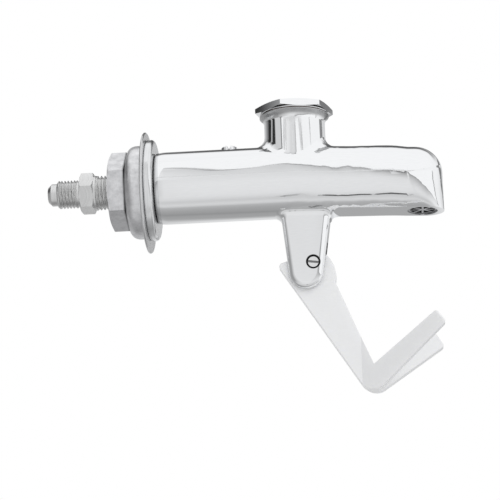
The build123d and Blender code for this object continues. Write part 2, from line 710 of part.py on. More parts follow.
def stem_ring(place: int) -> Part:
    """O-ring on the stem, in the bushing's lower (0) or upper (1) groove."""
    return o_ring(STEM_RADIUS + SEAL_GAP, RING_SECTION, VALVE_X, ring_height(place))


def spring_span() -> tuple[float, float]:
    """Lowest and highest point of the return spring, between the holder and the cap's roof."""
    low = SEAT_FACE + CLOSING_GAP + WASHER_THICKNESS + HOLDER_THICKNESS
    return low, cap_roof() - CLOSING_GAP


def return_spring() -> Part:
    """Compression spring round the stem's post. Its wire has eight sides, to keep it light."""
    low, high = spring_span()
    height = high - low - SPRING_WIRE
    path = Helix(height / SPRING_TURNS, height, SPRING_RADIUS)
    start = Plane(origin=path @ 0, z_dir=path % 0)
    coil = sweep(start * RegularPolygon(SPRING_WIRE / 2, SPRING_WIRE_SIDES), path=path)
    return Pos(VALVE_X, 0, low + SPRING_WIRE / 2) * coil


# Cap


def cap_face() -> float:
    """Height of the cap's lower face, on its gasket."""
    return NECK_TOP + CAP_GASKET_THICKNESS


def cap_roof() -> float:
    """Height of the roof inside the cap, where the spring ends."""
    return cap_face() + CAP_FACE_THICKNESS + CAP_HEX_HEIGHT - CAP_ROOF


def bonnet_cap() -> Part:
    """Hex cap with a round face, a threaded skirt, a spring well and a guide for the stem."""
    face = cap_face()
    hex_low = face + CAP_FACE_THICKNESS
    plane = Plane(origin=(VALVE_X, 0, hex_low))
    head = hex_bar(plane, CAP_HEX_ACROSS_FLATS, CAP_HEX_HEIGHT, CAP_HEX_TURN, CAP_HEX_BEVEL, CAP_HEX_BEVEL)
    washer = rod_z(CAP_FACE_RADIUS, face, hex_low)
    skirt = rod_z(NECK_THREAD_RADIUS - THREAD_GAP, face - CAP_SKIRT_LENGTH, face)
    well = rod_z(CAP_WELL_RADIUS, face - CAP_SKIRT_LENGTH, cap_roof())
    bore = STEM_POST_RADIUS + RUN_GAP
    low = cap_roof() - CAP_GUIDE_LENGTH
    guide = ring_z(bore + CAP_GUIDE_WALL, bore, low, cap_roof())
    return head + washer + skirt - well + guide


def cap_gasket() -> Part:
    """Flat ring between the neck and the cap."""
    outer, inner = NECK_RADIUS - CAP_GASKET_INSET, NECK_THREAD_RADIUS + CAP_GASKET_INSET
    return ring_z(outer, inner, NECK_TOP, cap_face())


# Flow screw


def flow_screw() -> Part:
    """Slotted flow screw: round head, a groove for its O-ring and a plug in the inlet passage."""
    groove_half = RING_GROOVE_WIDTH / 2
    groove_radius = FLOW_BORE_RADIUS - RING_SECTION - 2 * SEAL_GAP
    body_radius = FLOW_BORE_RADIUS - RUN_GAP
    head_low = TUBE_RADIUS - FLOW_HEAD_SINK
    screw = rod_z(body_radius, FLOW_BORE_FLOOR + CLOSING_GAP, head_low, FLOW_X)
    groove_low = FLOW_RING_Z - groove_half
    screw -= ring_z(body_radius + 1, groove_radius, groove_low, groove_low + RING_GROOVE_WIDTH, FLOW_X)
    head = rod_z(FLOW_HEAD_RADIUS, head_low, FLOW_HEAD_TOP, FLOW_X)
    head = fillet(head.edges().group_by(Axis.Z)[-1], FLOW_HEAD_EDGE)
    stem = rod_z(FLOW_STEM_RADIUS, INLET_Z + INLET_RADIUS, FLOW_BORE_FLOOR + 1, FLOW_X)
    tip = rod_z(FLOW_TIP_RADIUS, FLOW_TIP_Z, INLET_Z + INLET_RADIUS, FLOW_X)
    slot = Pos(FLOW_X, 0, FLOW_HEAD_TOP) * Box(FLOW_SLOT_WIDTH, 3 * FLOW_HEAD_RADIUS, 2 * FLOW_SLOT_DEPTH)
    return screw + head + stem + tip - slot


def flow_screw_ring() -> Part:
    """O-ring on the flow screw."""
    inner = FLOW_BORE_RADIUS - RING_SECTION - SEAL_GAP
    return o_ring(inner, RING_SECTION, FLOW_X, FLOW_RING_Z)


# Outlet


def outlet_straightener() -> Part:
    """Spoked ring that steadies the stream, pressed into the outlet."""
    mouth = flat_height(OUTLET_X)
    high = mouth + OUTLET_SEAT_DEPTH
    low = mouth + STRAIGHTENER_INSET
    outer = OUTLET_SEAT_RADIUS - CLOSING_GAP
    inner = outer - SPOKE_RIM
    insert = ring_z(outer, inner, low, high, OUTLET_X) + rod_z(SPOKE_HUB_RADIUS, low, high, OUTLET_X)
    reach = inner + SPOKE_RIM / 2
    for count in range(SPOKE_COUNT):
        spoke = Pos(reach / 2, 0, (low + high) / 2) * Box(reach, SPOKE_WIDTH, high - low)
        insert += Pos(OUTLET_X, 0, 0) * Rot(0, 0, 360 * count / SPOKE_COUNT) * spoke
    return insert


# Shank and panel fittings


def pipe_radius(x: float) -> float:
    """Radius of the adapter's tapered pipe thread at x."""
    return PIPE_RADIUS - (x - PIPE_START) * PIPE_TAPER


def shank() -> Part:
    """Threaded tube from the body through the panel, with a tapered socket at its back."""
    socket_end = SHANK_REAR + SHANK_SOCKET_DEPTH
    gap = THREAD_GAP
    return Pos(0, 0, -INLET_DROP) * turned_x([
        (SHANK_REAR, pipe_radius(SHANK_REAR) + gap), (SHANK_REAR, SHANK_RADIUS - SHANK_CHAMFER),
        (SHANK_REAR + SHANK_CHAMFER, SHANK_RADIUS), (SHANK_FRONT - SHANK_CHAMFER, SHANK_RADIUS),
        (SHANK_FRONT, SHANK_RADIUS - SHANK_CHAMFER), (SHANK_FRONT, SHANK_BORE),
        (socket_end, SHANK_BORE), (socket_end, pipe_radius(socket_end) + gap),
    ])


def shank_gasket() -> Part:
    """Ring between the shank's front end and the floor of the body's socket."""
    start, end = SHANK_FRONT, SHANK_FRONT + SHANK_GASKET_THICKNESS
    bore = INLET_Z + INLET_DROP + INLET_RADIUS
    return rod_x(SHANK_RADIUS - SEAL_GAP, start, end, -INLET_DROP) - rod_x(bore, start, end, -INLET_DROP)


def hanging_bore(hang: float) -> float:
    """Bore of a loose ring that hangs on the shank by its hole."""
    return SHANK_RADIUS + hang + CLOSING_GAP


def front_flange() -> Part:
    """Round flange in front of the panel, loose on the shank."""
    drop = INLET_DROP + FLANGE_HANG
    plate = rod_x(FLANGE_RADIUS, 0, FLANGE_THICKNESS, -drop)
    plate = fillet(plate.edges().group_by(Axis.X)[-1], FLANGE_EDGE)
    plate = fillet(plate.edges().group_by(Axis.X)[0], FLANGE_BACK_EDGE)
    return plate - rod_x(hanging_bore(FLANGE_HANG), -1, FLANGE_THICKNESS + 1, -drop)


def panel_washer() -> Part:
    """Wide thin washer behind the panel, loose on the shank."""
    start, end = -PANEL_WASHER_THICKNESS - CLOSING_GAP, -CLOSING_GAP
    drop = INLET_DROP + PANEL_WASHER_HANG
    plate = rod_x(PANEL_WASHER_RADIUS, start, end, -drop)
    rims = plate.edges().group_by(Axis.X)[-1] + plate.edges().group_by(Axis.X)[0]
    plate = chamfer(rims, PANEL_WASHER_EDGE)
    return plate - rod_x(hanging_bore(PANEL_WASHER_HANG), start - 1, end + 1, -drop)


def dome_washer() -> Part:
    """Thick washer, flat in front and domed behind, loose on the shank."""
    bore = hanging_bore(DOME_HANG)
    back = DOME_FRONT - DOME_HEIGHT
    rim = DOME_FRONT - DOME_RIM
    outline = [
        Line((DOME_FRONT, bore), (DOME_FRONT, DOME_RADIUS)),
        Line((DOME_FRONT, DOME_RADIUS), (rim, DOME_RADIUS)),
        Spline((rim, DOME_RADIUS), (back, bore + DOME_LAND), tangents=[(-1, 0.0), (-0.05, -1)]),
        Line((back, bore + DOME_LAND), (back, bore)),
        Line((back, bore), (DOME_FRONT, bore)),
    ]
    turned = revolve(Plane.XZ * make_face(outline), axis=Axis.X)
    return Pos(0, 0, -INLET_DROP - DOME_HANG) * turned


def locknut() -> Part:
    """Hex nut on the shank."""
    start = LOCKNUT_FRONT - LOCKNUT_THICKNESS
    nut = hex_bar(across_x(start), LOCKNUT_ACROSS_FLATS, LOCKNUT_THICKNESS, LOCKNUT_TURN,
                  LOCKNUT_BEVEL, LOCKNUT_FRONT_BEVEL)
    return Pos(0, 0, -INLET_DROP) * (nut - rod_x(SHANK_RADIUS + THREAD_GAP, start - 1, LOCKNUT_FRONT + 1))


def flare_adapter() -> Part:
    """Flare adapter: nose, flare thread, hex and tapered pipe thread, with a straight bore."""
    hex_front = PIPE_START - ADAPTER_RING_LENGTH
    hex_back = hex_front - ADAPTER_HEX_LENGTH
    flare_front = hex_back - RELIEF_LENGTH
    flare_back = flare_front - FLARE_LENGTH
    nose_back = flare_back - NOSE_LENGTH
    tip = nose_back - NOSE_CONE_LENGTH
    pipe_end = PIPE_START + PIPE_LENGTH
    turned = turned_x([
        (tip, 0), (tip, NOSE_RADIUS - NOSE_CONE_LENGTH),
        (nose_back, NOSE_RADIUS), (flare_back, NOSE_RADIUS),
        (flare_back, FLARE_RADIUS - FLARE_CHAMFER), (flare_back + FLARE_CHAMFER, FLARE_RADIUS),
        (flare_front, FLARE_RADIUS), (flare_front, RELIEF_RADIUS), (hex_back, RELIEF_RADIUS),
        (hex_back, RELIEF_RADIUS + 1), (hex_front, RELIEF_RADIUS + 1), (hex_front, ADAPTER_RING_RADIUS),
        (PIPE_START, ADAPTER_RING_RADIUS), (PIPE_START, pipe_radius(PIPE_START)),
        (pipe_end, pipe_radius(pipe_end)), (pipe_end, 0),
    ])
    wrench = hex_bar(across_x(hex_back), ADAPTER_ACROSS_FLATS, ADAPTER_HEX_LENGTH,
                     ADAPTER_HEX_TURN, ADAPTER_HEX_BEVEL, ADAPTER_HEX_BEVEL)
    return Pos(0, 0, -INLET_DROP) * (turned + wrench - rod_x(ADAPTER_BORE, tip - 1, pipe_end + 1))


def main() -> None:
    """Build every piece and write one file for each."""
    pieces = {
        "body": body(),
        "shank": shank(),
        "shank_gasket": shank_gasket(),
        "front_flange": front_flange(),
        "panel_washer": panel_washer(),
        "dome_washer": dome_washer(),
        "locknut": locknut(),
        "flare_adapter": flare_adapter(),
        "bonnet_cap": bonnet_cap(),
        "cap_gasket": cap_gasket(),
        "return_spring": return_spring(),
        "valve_stem": valve_stem(),
        "seat_washer": seat_washer(),
        "washer_nut": washer_nut(),
        "valve_seat": valve_seat(),
        "seat_gasket": seat_gasket(),
        "stem_bushing": stem_bushing(),
        "lower_stem_ring": stem_ring(0),
        "upper_stem_ring": stem_ring(1),
        "flow_screw": flow_screw(),
        "flow_screw_ring": flow_screw_ring(),
        "outlet_straightener": outlet_straightener(),
        "lever": lever(),
        "pivot_screw": pivot_screw(),
    }
    os.makedirs("parts", exist_ok=True)
    for name, piece in pieces.items():
        export_step(piece, f"parts/{name}.step")


main()
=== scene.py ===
import logging
import math
from collections.abc import Callable, Mapping, Sequence
from dataclasses import dataclass
from enum import Enum

import bpy
import numpy as np
from mathutils import Matrix, Vector


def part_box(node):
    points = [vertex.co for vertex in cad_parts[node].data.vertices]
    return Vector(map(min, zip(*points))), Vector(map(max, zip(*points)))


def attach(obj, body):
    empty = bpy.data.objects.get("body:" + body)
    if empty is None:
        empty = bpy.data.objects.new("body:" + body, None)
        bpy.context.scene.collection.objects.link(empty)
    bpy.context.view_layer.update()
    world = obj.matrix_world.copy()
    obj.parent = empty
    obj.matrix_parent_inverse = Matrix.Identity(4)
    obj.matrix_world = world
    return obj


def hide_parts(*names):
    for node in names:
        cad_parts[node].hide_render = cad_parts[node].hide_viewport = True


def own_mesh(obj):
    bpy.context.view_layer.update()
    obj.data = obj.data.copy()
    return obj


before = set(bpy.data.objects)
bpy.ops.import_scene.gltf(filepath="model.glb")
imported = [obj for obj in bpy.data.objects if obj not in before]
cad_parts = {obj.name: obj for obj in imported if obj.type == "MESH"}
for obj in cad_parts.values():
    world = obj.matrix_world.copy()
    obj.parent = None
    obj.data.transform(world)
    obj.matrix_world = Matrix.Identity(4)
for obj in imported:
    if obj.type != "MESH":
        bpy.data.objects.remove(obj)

# Looks of a push-back glass filler: chromed body, plated panel fittings, nylon lever, and the
# threads that the solids leave plain. Everything is in the solids' own frame. Sizes of pieces
# and finishes are given in millimetres and turned into metres where they are used; the stage's
# are in metres.

MM = 0.001

Colour = tuple[float, float, float]
Place = tuple[float, float, float]
Value = float | Sequence[float] | bpy.types.NodeSocket
Stops = Sequence[tuple[float, float]]

log = logging.getLogger("glass_filler")


def add_object(name: str, data: bpy.types.ID) -> bpy.types.Object:
    """Make an object of a mesh, lamp or camera, put it into the scene and return it.

    Args:
        name: the object's name.
        data: its mesh, lamp or camera.

    Returns:
        The new object.
    """
    made = bpy.data.objects.new(name, data)
    bpy.context.scene.collection.objects.link(made)
    return made


# Node trees


class NodeSketch:
    """Writes a node tree in few words.

    Attributes:
        tree: the node tree that the nodes go into.
    """

    def __init__(self, tree: bpy.types.NodeTree) -> None:
        """Take the tree that the nodes go into."""
        self.tree = tree

    def node(self, kind: str, values: Mapping[str, Value] | None = None,
             **settings: object) -> bpy.types.Node:
        """Add a node, set its own properties and fill its input sockets.

        Args:
            kind: Blender's name for the type of node.
            values: what each named input socket holds, or the output that feeds it.
            **settings: properties of the node itself.

        Returns:
            The new node.
        """
        node = self.tree.nodes.new(kind)
        for name, setting in settings.items():
            setattr(node, name, setting)
        for name, value in (values or {}).items():
            self.feed(node.inputs[name], value)
        return node

    def feed(self, socket: bpy.types.NodeSocket, value: Value) -> None:
        """Link an output to a socket, or write a plain value into it.

        Args:
            socket: the input.
            value: the output that feeds it, or what it holds.
        """
        if isinstance(value, bpy.types.NodeSocket):
            self.tree.links.new(value, socket)
        else:
            socket.default_value = value

    def math(self, operation: str, *values: Value) -> bpy.types.NodeSocket:
        """Add a Math node on one to three values and return its result.

        Args:
            operation: Blender's name for the sum.
            *values: one to three values.

        Returns:
            The result.
        """
        node = self.tree.nodes.new("ShaderNodeMath")
        node.operation = operation
        for socket, value in zip(node.inputs, values):
            self.feed(socket, value)
        return node.outputs[0]

    def vector(self, operation: str, *values: Value) -> bpy.types.Node:
        """Add a Vector Math node on one to three values and return the node.

        Args:
            operation: Blender's name for the sum.
            *values: one to three values.

        Returns:
            The new node.
        """
        node = self.tree.nodes.new("ShaderNodeVectorMath")
        node.operation = operation
        for socket, value in zip(node.inputs, values):
            self.feed(socket, value)
        return node

    def times(self, first: Value, *others: Value) -> Value:
        """Multiply values with each other and return the product.

        Args:
            first: the first value.
            *others: what it is multiplied by.

        Returns:
            The product.
        """
        for other in others:
            first = self.math("MULTIPLY", first, other)
        return first

    def left(self, mask: Value, depth: float) -> bpy.types.NodeSocket:
        """Return the share that is left where a mask takes a depth away."""
        return self.math("MULTIPLY_ADD", mask, -depth, 1.0)

    def mix(self, factor: Value, first: Value, second: Value) -> bpy.types.NodeSocket:
        """Go from the first value to the second as the factor goes from 0 to 1.

        Args:
            factor: the second value's share.
            first: the first value.
            second: the second value.

        Returns:
            The mixture.
        """
        node = self.node("ShaderNodeMix", {"Factor": factor}, data_type="FLOAT")
        self.feed(node.inputs["A"], first)
        self.feed(node.inputs["B"], second)
        return node.outputs["Result"]

    def mix_shaders(self, factor: Value, first: bpy.types.Node,
                    second: bpy.types.Node) -> bpy.types.NodeSocket:
        """Go from the first node's shader to the second's as the factor goes from 0 to 1.

        Args:
            factor: the second shader's share.
            first: node with the first shader.
            second: node with the second shader.

        Returns:
            The mixed shader.
        """
        node = self.node("ShaderNodeMixShader", {"Fac": factor})
        self.feed(node.inputs[1], first.outputs[0])
        self.feed(node.inputs[2], second.outputs[0])
        return node.outputs["Shader"]

    def spread(self, value: Value, low: float, high: float) -> bpy.types.NodeSocket:
        """Stretch a value from 0..1 to low..high and return the result."""
        node = self.node("ShaderNodeMapRange", {"Value": value, "To Min": low, "To Max": high})
        return node.outputs["Result"]

    def fade(self, value: Value, nought: float, whole: float) -> bpy.types.NodeSocket:
        """Go smoothly from 0, where a value is nought, to 1, where it is whole.

        Args:
            value: the value.
            nought: where the result is 0.
            whole: where it is 1.

        Returns:
            The result.
        """
        node = self.node("ShaderNodeMapRange", interpolation_type="SMOOTHSTEP",
                         values={"Value": value, "From Min": nought, "From Max": whole})
        return node.outputs["Result"]

    def band(self, value: Value, low: float, high: float, soft: float) -> bpy.types.NodeSocket:
        """Return 1 where a value is between low and high, fading to 0 over soft outside."""
        return self.times(self.fade(value, low - soft, low), self.fade(value, high + soft, high))

    def ramp(self, value: Value, stops: Stops) -> bpy.types.NodeSocket:
        """Grey scale that runs straight between stops.

        Args:
            value: place on the scale.
            stops: pairs of place and brightness, in rising order of place.

        Returns:
            The grey output.
        """
        low, high = stops[0][0], stops[-1][0]
        place = self.node("ShaderNodeMapRange",
                          {"Value": value, "From Min": low, "From Max": high})
        node = self.node("ShaderNodeValToRGB", {"Fac": place.outputs["Result"]})
        elements = node.color_ramp.elements
        elements.remove(elements[1])
        for count, (stop, level) in enumerate(stops):
            share = (stop - low) / (high - low)
            element = elements[0] if count == 0 else elements.new(share)
            element.position = share
            element.color = (level, level, level, 1.0)
        return node.outputs["Color"]


def blank_tree(owner: bpy.types.Material | bpy.types.World) -> NodeSketch:
    """Empty the node tree of a material or a world and return a sketch of it.

    Args:
        owner: the material or the world.

    Returns:
        A sketch of its tree.
    """
    owner.use_nodes = True
    owner.node_tree.nodes.clear()
    return NodeSketch(owner.node_tree)


# Shared effects


class Marks(Enum):
    """What making a surface left on it."""

    POLISHED = "polished"
    TURNED = "turned"
    CAST = "cast"
    DRAWN = "drawn"


# Polish is wiped round the long axis, which stretches its haze along it.
WIPE_STRETCH = (1.0, 6.0, 6.0)
HAZE_SCALE = 3.0
# Turned rings lean with their place along the axis, so that faces and walls both show them.
RING_LEAN = 0.7
TURNED_PATCH_SCALE = 140.0
# Scales of the cast surface's lumps and stains, as shares of its grain's scale, and how much the
# grain counts beside the lumps.
LUMP_SCALE = 0.2
STAIN_SCALE = 0.35
GRAIN_SHARE = 0.4
# Drawn lines are long, and the cloud over them is broad.
LINE_STRETCH = (0.06, 1.0, 1.0)
CLOUD_SCALE = 0.12


def noise(sketch: NodeSketch, place: Value, scale: Value, detail: float = 2.0,
          roughness: float = 0.5) -> bpy.types.NodeSocket:
    """Add a noise texture and return its value, from 0 to 1 about a middle of a half.

    Args:
        sketch: the tree that the nodes go into.
        place: where each point is.
        scale: how fine the noise is.
        detail: how many finer layers it has.
        roughness: how much the finer layers count.

    Returns:
        The noise's value.
    """
    node = sketch.node("ShaderNodeTexNoise", {
        "Vector": place, "Scale": scale, "Detail": detail, "Roughness": roughness})
    return node.outputs["Fac"]


def polished_marks(sketch: NodeSketch, place: Value, size: Value) -> tuple[Value, Value]:
    """Hand polish: broad soft waves in the height, and faint cloudy patches in the shade.

    Args:
        sketch: the tree that the nodes go into.
        place: where each point is.
        size: size of the marks.

    Returns:
        The height and the shade.
    """
    scale = sketch.math("DIVIDE", 1.0, size)
    waves = noise(sketch, place, scale, detail=1.0)
    wipe = sketch.vector("MULTIPLY", place, WIPE_STRETCH).outputs["Vector"]
    haze = noise(sketch, wipe, sketch.times(scale, HAZE_SCALE), detail=4.0, roughness=0.6)
    return waves, haze


def turned_marks(sketch: NodeSketch, place: Value, size: Value) -> tuple[Value, Value]:
    """Lathe work: uneven rings round the long axis, by noise on the distance from it.

    Args:
        sketch: the tree that the nodes go into.
        place: where each point is.
        size: size of the marks.

    Returns:
        The height and the shade.
    """
    parts = sketch.node("ShaderNodeSeparateXYZ", {"Vector": place}).outputs
    squares = [sketch.math("POWER", parts[name], 2.0) for name in ("Y", "Z")]
    radius = sketch.math("SQRT", sketch.math("ADD", *squares))
    along = sketch.times(parts["X"], RING_LEAN)
    turns = sketch.math("DIVIDE", sketch.math("ADD", radius, along), size)
    ring = sketch.node("ShaderNodeTexNoise", noise_dimensions="1D",
                       values={"W": turns, "Scale": 1.0, "Detail": 3.0}).outputs["Fac"]
    patch = noise(sketch, place, TURNED_PATCH_SCALE, detail=3.0)
    return ring, sketch.times(sketch.math("ADD", ring, patch), 0.5)


def cast_marks(sketch: NodeSketch, place: Value, size: Value) -> tuple[Value, Value]:
    """Rough blank under plating: fine grain over lumps in the height, stains in the shade.

    Args:
        sketch: the tree that the nodes go into.
        place: where each point is.
        size: size of the marks.

    Returns:
        The height and the shade.
    """
    scale = sketch.math("DIVIDE", 1.0, size)
    grain = noise(sketch, place, scale, detail=5.0, roughness=0.65)
    lumps = noise(sketch, place, sketch.times(scale, LUMP_SCALE), detail=2.0)
    stains = noise(sketch, place, sketch.times(scale, STAIN_SCALE), detail=5.0, roughness=0.7)
    return sketch.math("ADD", sketch.times(grain, GRAIN_SHARE), lumps), stains


def drawn_marks(sketch: NodeSketch, place: Value, size: Value) -> tuple[Value, Value]:
    """Drawn or moulded stock: long fine lines along the long axis, and a soft cloud.

    Args:
        sketch: the tree that the nodes go into.
        place: where each point is.
        size: size of the marks.

    Returns:
        The height and the shade.
    """
    scale = sketch.math("DIVIDE", 1.0, size)
    lines_place = sketch.vector("MULTIPLY", place, LINE_STRETCH).outputs["Vector"]
    lines = noise(sketch, lines_place, scale, detail=3.0)
    return lines, noise(sketch, place, sketch.times(scale, CLOUD_SCALE), detail=3.0)


MARK_MAKERS: dict[Marks, Callable[[NodeSketch, Value, Value], tuple[Value, Value]]] = {
    Marks.POLISHED: polished_marks,
    Marks.TURNED: turned_marks,
    Marks.CAST: cast_marks,
    Marks.DRAWN: drawn_marks,
}


class EffectShelf:
    """Builds each shared effect once, as a shader node group, and hands it out.

    Attributes:
        built: the groups so far, by name.
    """

    def __init__(self) -> None:
        """Start with nothing on the shelf."""
        self.built: dict[str, bpy.types.NodeTree] = {}

    def start(self, name: str, vectors: Sequence[str], numbers: Sequence[str],
              results: Sequence[str]) -> NodeSketch:
        """Start a group and put it on the shelf.

        Args:
            name: the group's name.
            vectors: names of its vector inputs.
            numbers: names of its number inputs.
            results: names of its outputs, all numbers.

        Returns:
            A sketch of the group's tree.
        """
        group = bpy.data.node_groups.new(name, "ShaderNodeTree")
        for names, in_out, kind in ((vectors, "INPUT", "NodeSocketVector"),
                                    (numbers, "INPUT", "NodeSocketFloat"),
                                    (results, "OUTPUT", "NodeSocketFloat")):
            for socket_name in names:
                group.interface.new_socket(socket_name, in_out=in_out, socket_type=kind)
        self.built[name] = group
        return NodeSketch(group)

    def marks(self, marks: Marks) -> bpy.types.NodeTree:
        """Return the group that turns Place and Size into the Height and Shade of marks.

        Args:
            marks: what making the surface left on it.

        Returns:
            The group.
        """
        name = f"{marks.value}_marks"
        if name not in self.built:
            sketch = self.start(name, ("Place",), ("Size",), ("Height", "Shade"))
            given = sketch.node("NodeGroupInput").outputs
            height, shade = MARK_MAKERS[marks](sketch, given["Place"], given["Size"])
            sketch.node("NodeGroupOutput", {"Height": height, "Shade": shade})
        return self.built[name]

    def painted_shade_ring(self) -> bpy.types.NodeTree:
        """Return the group that makes a painted shade mask: a ring, or a disc, that fades at its
        edges.

        A point's place along the axis is its dot product with it, and its radius is the length
        of what is left. The mask is 1 where both are inside their limits.

        Returns:
            The group.
        """
        name = "painted_shade_ring"
        if name not in self.built:
            sketch = self.start(name, ("Place", "Centre", "Axis"),
                                ("Inner", "Outer", "Low", "High", "Soft"), ("Mask",))
            given = sketch.node("NodeGroupInput").outputs
            arm = sketch.vector("SUBTRACT", given["Place"], given["Centre"]).outputs["Vector"]
            along = sketch.vector("DOT_PRODUCT", arm, given["Axis"]).outputs["Value"]
            lengthwise = sketch.node("ShaderNodeVectorMath", operation="SCALE",
                                     values={0: given["Axis"], "Scale": along})
            across = sketch.vector("SUBTRACT", arm, lengthwise.outputs["Vector"])
            radius = sketch.vector("LENGTH", across.outputs["Vector"]).outputs["Value"]
            mask: Value = 1.0
            for value, low, high in ((radius, "Inner", "Outer"), (along, "Low", "High")):
                for distance in (sketch.math("SUBTRACT", value, given[low]),
                                 sketch.math("SUBTRACT", given[high], value)):
                    share = sketch.math("DIVIDE", distance, given["Soft"])
                    mask = sketch.times(mask, sketch.fade(share, -0.5, 0.5))
            sketch.node("NodeGroupOutput", {"Mask": mask})
        return self.built[name]


SHELF = EffectShelf()


@dataclass(frozen=True)
class PaintedShadeRing:
    """Ring of painted shade, where shade falls. An inner radius below 0 makes it a disc.

    Attributes:
        centre: a point on its axis, in millimetres.
        axis: its axis.
        radii: inner and outer radius, in millimetres.
        reach: where it starts and ends along the axis, in millimetres from the centre.
        soft: width over which it fades, in millimetres.
        depth: how much it darkens.
    """

    centre: Place
    axis: Place
    radii: tuple[float, float]
    reach: tuple[float, float]
    soft: float
    depth: float

    def unshaded_share(self, sketch: NodeSketch, place: bpy.types.NodeSocket) -> bpy.types.NodeSocket:
        """Add the ring to a material and return how much of the colour it leaves.

        Args:
            sketch: the material's tree.
            place: where each point is.

        Returns:
            The share of the colour that is left.
        """
        ring = sketch.node("ShaderNodeGroup", node_tree=SHELF.painted_shade_ring(), values={
            "Place": place, "Centre": [MM * part for part in self.centre], "Axis": self.axis,
            "Inner": self.radii[0] * MM, "Outer": self.radii[1] * MM,
            "Low": self.reach[0] * MM, "High": self.reach[1] * MM, "Soft": self.soft * MM})
        return sketch.left(ring.outputs["Mask"], self.depth)


# Finishes


@dataclass(frozen=True)
class Finish:
    """A surface: its colours, gloss and the marks on it.

    Attributes:
        name: the material's name.
        colour: base colour.
        other_colour: colour of the stained or shaded patches.
        roughness: middle roughness.
        roughness_spread: how far the roughness goes either way.
        marks: what making the surface left on it.
        mark_size: size of the marks, in millimetres.
        mark_height: height of the marks, in millimetres.
        metallic: 1 for a metal.
        subsurface: share of light that goes through the surface.
        subsurface_reach: how far that light goes, in millimetres.
        subsurface_tint: share of that reach for red, green and blue.
        centre: place that turned rings go round, in millimetres.
        painted_shade: rings of painted shade, which darken the colour where shade falls.
        painted_shade_roughness: roughness that the painted shade adds where it leaves no colour.
        shade_reach: how far the shade carries the colour, past the one at 0 and past the
            other at 1.
    """

    name: str
    colour: Colour
    other_colour: Colour
    roughness: float
    roughness_spread: float
    marks: Marks
    mark_size: float
    mark_height: float
    metallic: float = 1.0
    subsurface: float = 0.0
    subsurface_reach: float = 2.5
    subsurface_tint: Colour = (1.0, 1.0, 0.95)
    centre: Place = (0.0, 0.0, 0.0)
    painted_shade: tuple[PaintedShadeRing, ...] = ()
    painted_shade_roughness: float = 0.5
    shade_reach: tuple[float, float] = (-0.6, 1.6)

    def build(self) -> bpy.types.Material:
        """Make the material: a Principled surface fed by the effect that suits its marks.

        Returns:
            The new material.
        """
        material = bpy.data.materials.new(self.name)
        sketch = blank_tree(material)
        place = sketch.node("ShaderNodeTexCoord").outputs["Object"]
        centred = sketch.vector("SUBTRACT", place, [MM * part for part in self.centre])
        effect = sketch.node("ShaderNodeGroup", node_tree=SHELF.marks(self.marks), values={
            "Place": centred.outputs["Vector"], "Size": self.mark_size * MM})
        shade = effect.outputs["Shade"]
        colour = sketch.node("ShaderNodeMix", data_type="RGBA")
        sketch.feed(colour.inputs["Factor"], sketch.spread(shade, *self.shade_reach))
        colour.inputs["A"].default_value = (*self.colour, 1.0)
        colour.inputs["B"].default_value = (*self.other_colour, 1.0)
        bump = sketch.node("ShaderNodeBump", {
            "Height": effect.outputs["Height"], "Distance": self.mark_height * MM,
            "Strength": 1.0})
        shown = colour.outputs["Result"]
        roughness = sketch.spread(shade, self.roughness - self.roughness_spread,
                                  self.roughness + self.roughness_spread)
        # Painted shade: each ring darkens the colour where shade falls, and adds roughness there.
        if self.painted_shade:
            unshaded = sketch.times(1.0, *(ring.unshaded_share(sketch, place) for ring in self.painted_shade))
            shown = sketch.node("ShaderNodeVectorMath", {0: shown, "Scale": unshaded},
                                operation="SCALE").outputs["Vector"]
            dullness = sketch.math("MULTIPLY_ADD", unshaded, -self.painted_shade_roughness,
                                   self.painted_shade_roughness)
            roughness = sketch.math("ADD", roughness, dullness)
        surface = sketch.node("ShaderNodeBsdfPrincipled", {
            "Base Color": shown, "Roughness": roughness, "Metallic": self.metallic,
            "Normal": bump.outputs["Normal"]})
        if self.subsurface:
            surface.inputs["Subsurface Weight"].default_value = self.subsurface
            surface.inputs["Subsurface Radius"].default_value = self.subsurface_tint
            surface.inputs["Subsurface Scale"].default_value = self.subsurface_reach * MM
        sketch.node("ShaderNodeOutputMaterial", {"Surface": surface.outputs["BSDF"]})
        return material


PIVOT = (63.8, 0.0, -33.6)
CAP_AXIS = (58.2, 0.0, 0.0)
OUTLET_AXIS = (106.9, 0.0, 0.0)
SHANK_AXIS = (0.0, 0.0, -0.7)
LEFT, FORWARD, UP = (0, -1, 0), (1, 0, 0), (0, 0, 1)

CHROME = Finish(
    "chromed_brass", (0.90, 0.905, 0.91), (0.87, 0.875, 0.88), 0.06, 0.02, Marks.POLISHED, 9.0,
    0.003, painted_shade=(
        # Painted shade in the sink round the pivot screw's head.
        PaintedShadeRing(PIVOT, LEFT, (1.98, 2.82), (2.0, 5.7), 0.1, 0.93),
        # Painted shade on the neck's flare under the bonnet cap.
        PaintedShadeRing(CAP_AXIS, UP, (12.3, 18.0), (24.0, 27.2), 0.6, 0.5),
        # Painted shade inside the outlet's bore.
        PaintedShadeRing(OUTLET_AXIS, UP, (-1.0, 6.0), (-13.9, 0.0), 0.5, 0.8),
        # Painted shade at the tube's rounded back edge, next to the flange.
        PaintedShadeRing((0.0, 0.0, 0.0), FORWARD, (11.0, 14.6), (3.0, 4.1), 0.8, 0.5),
    ))
SATIN_CHROME = Finish("satin_chrome", (0.86, 0.865, 0.87), (0.74, 0.745, 0.75), 0.17, 0.06,
                      Marks.TURNED, 0.5, 0.003, centre=(0.0, 0.0, -0.1))
DISC_STEEL = Finish("bright_steel", (0.74, 0.74, 0.745), (0.58, 0.58, 0.585), 0.26, 0.07,
                    Marks.TURNED, 0.35, 0.004)
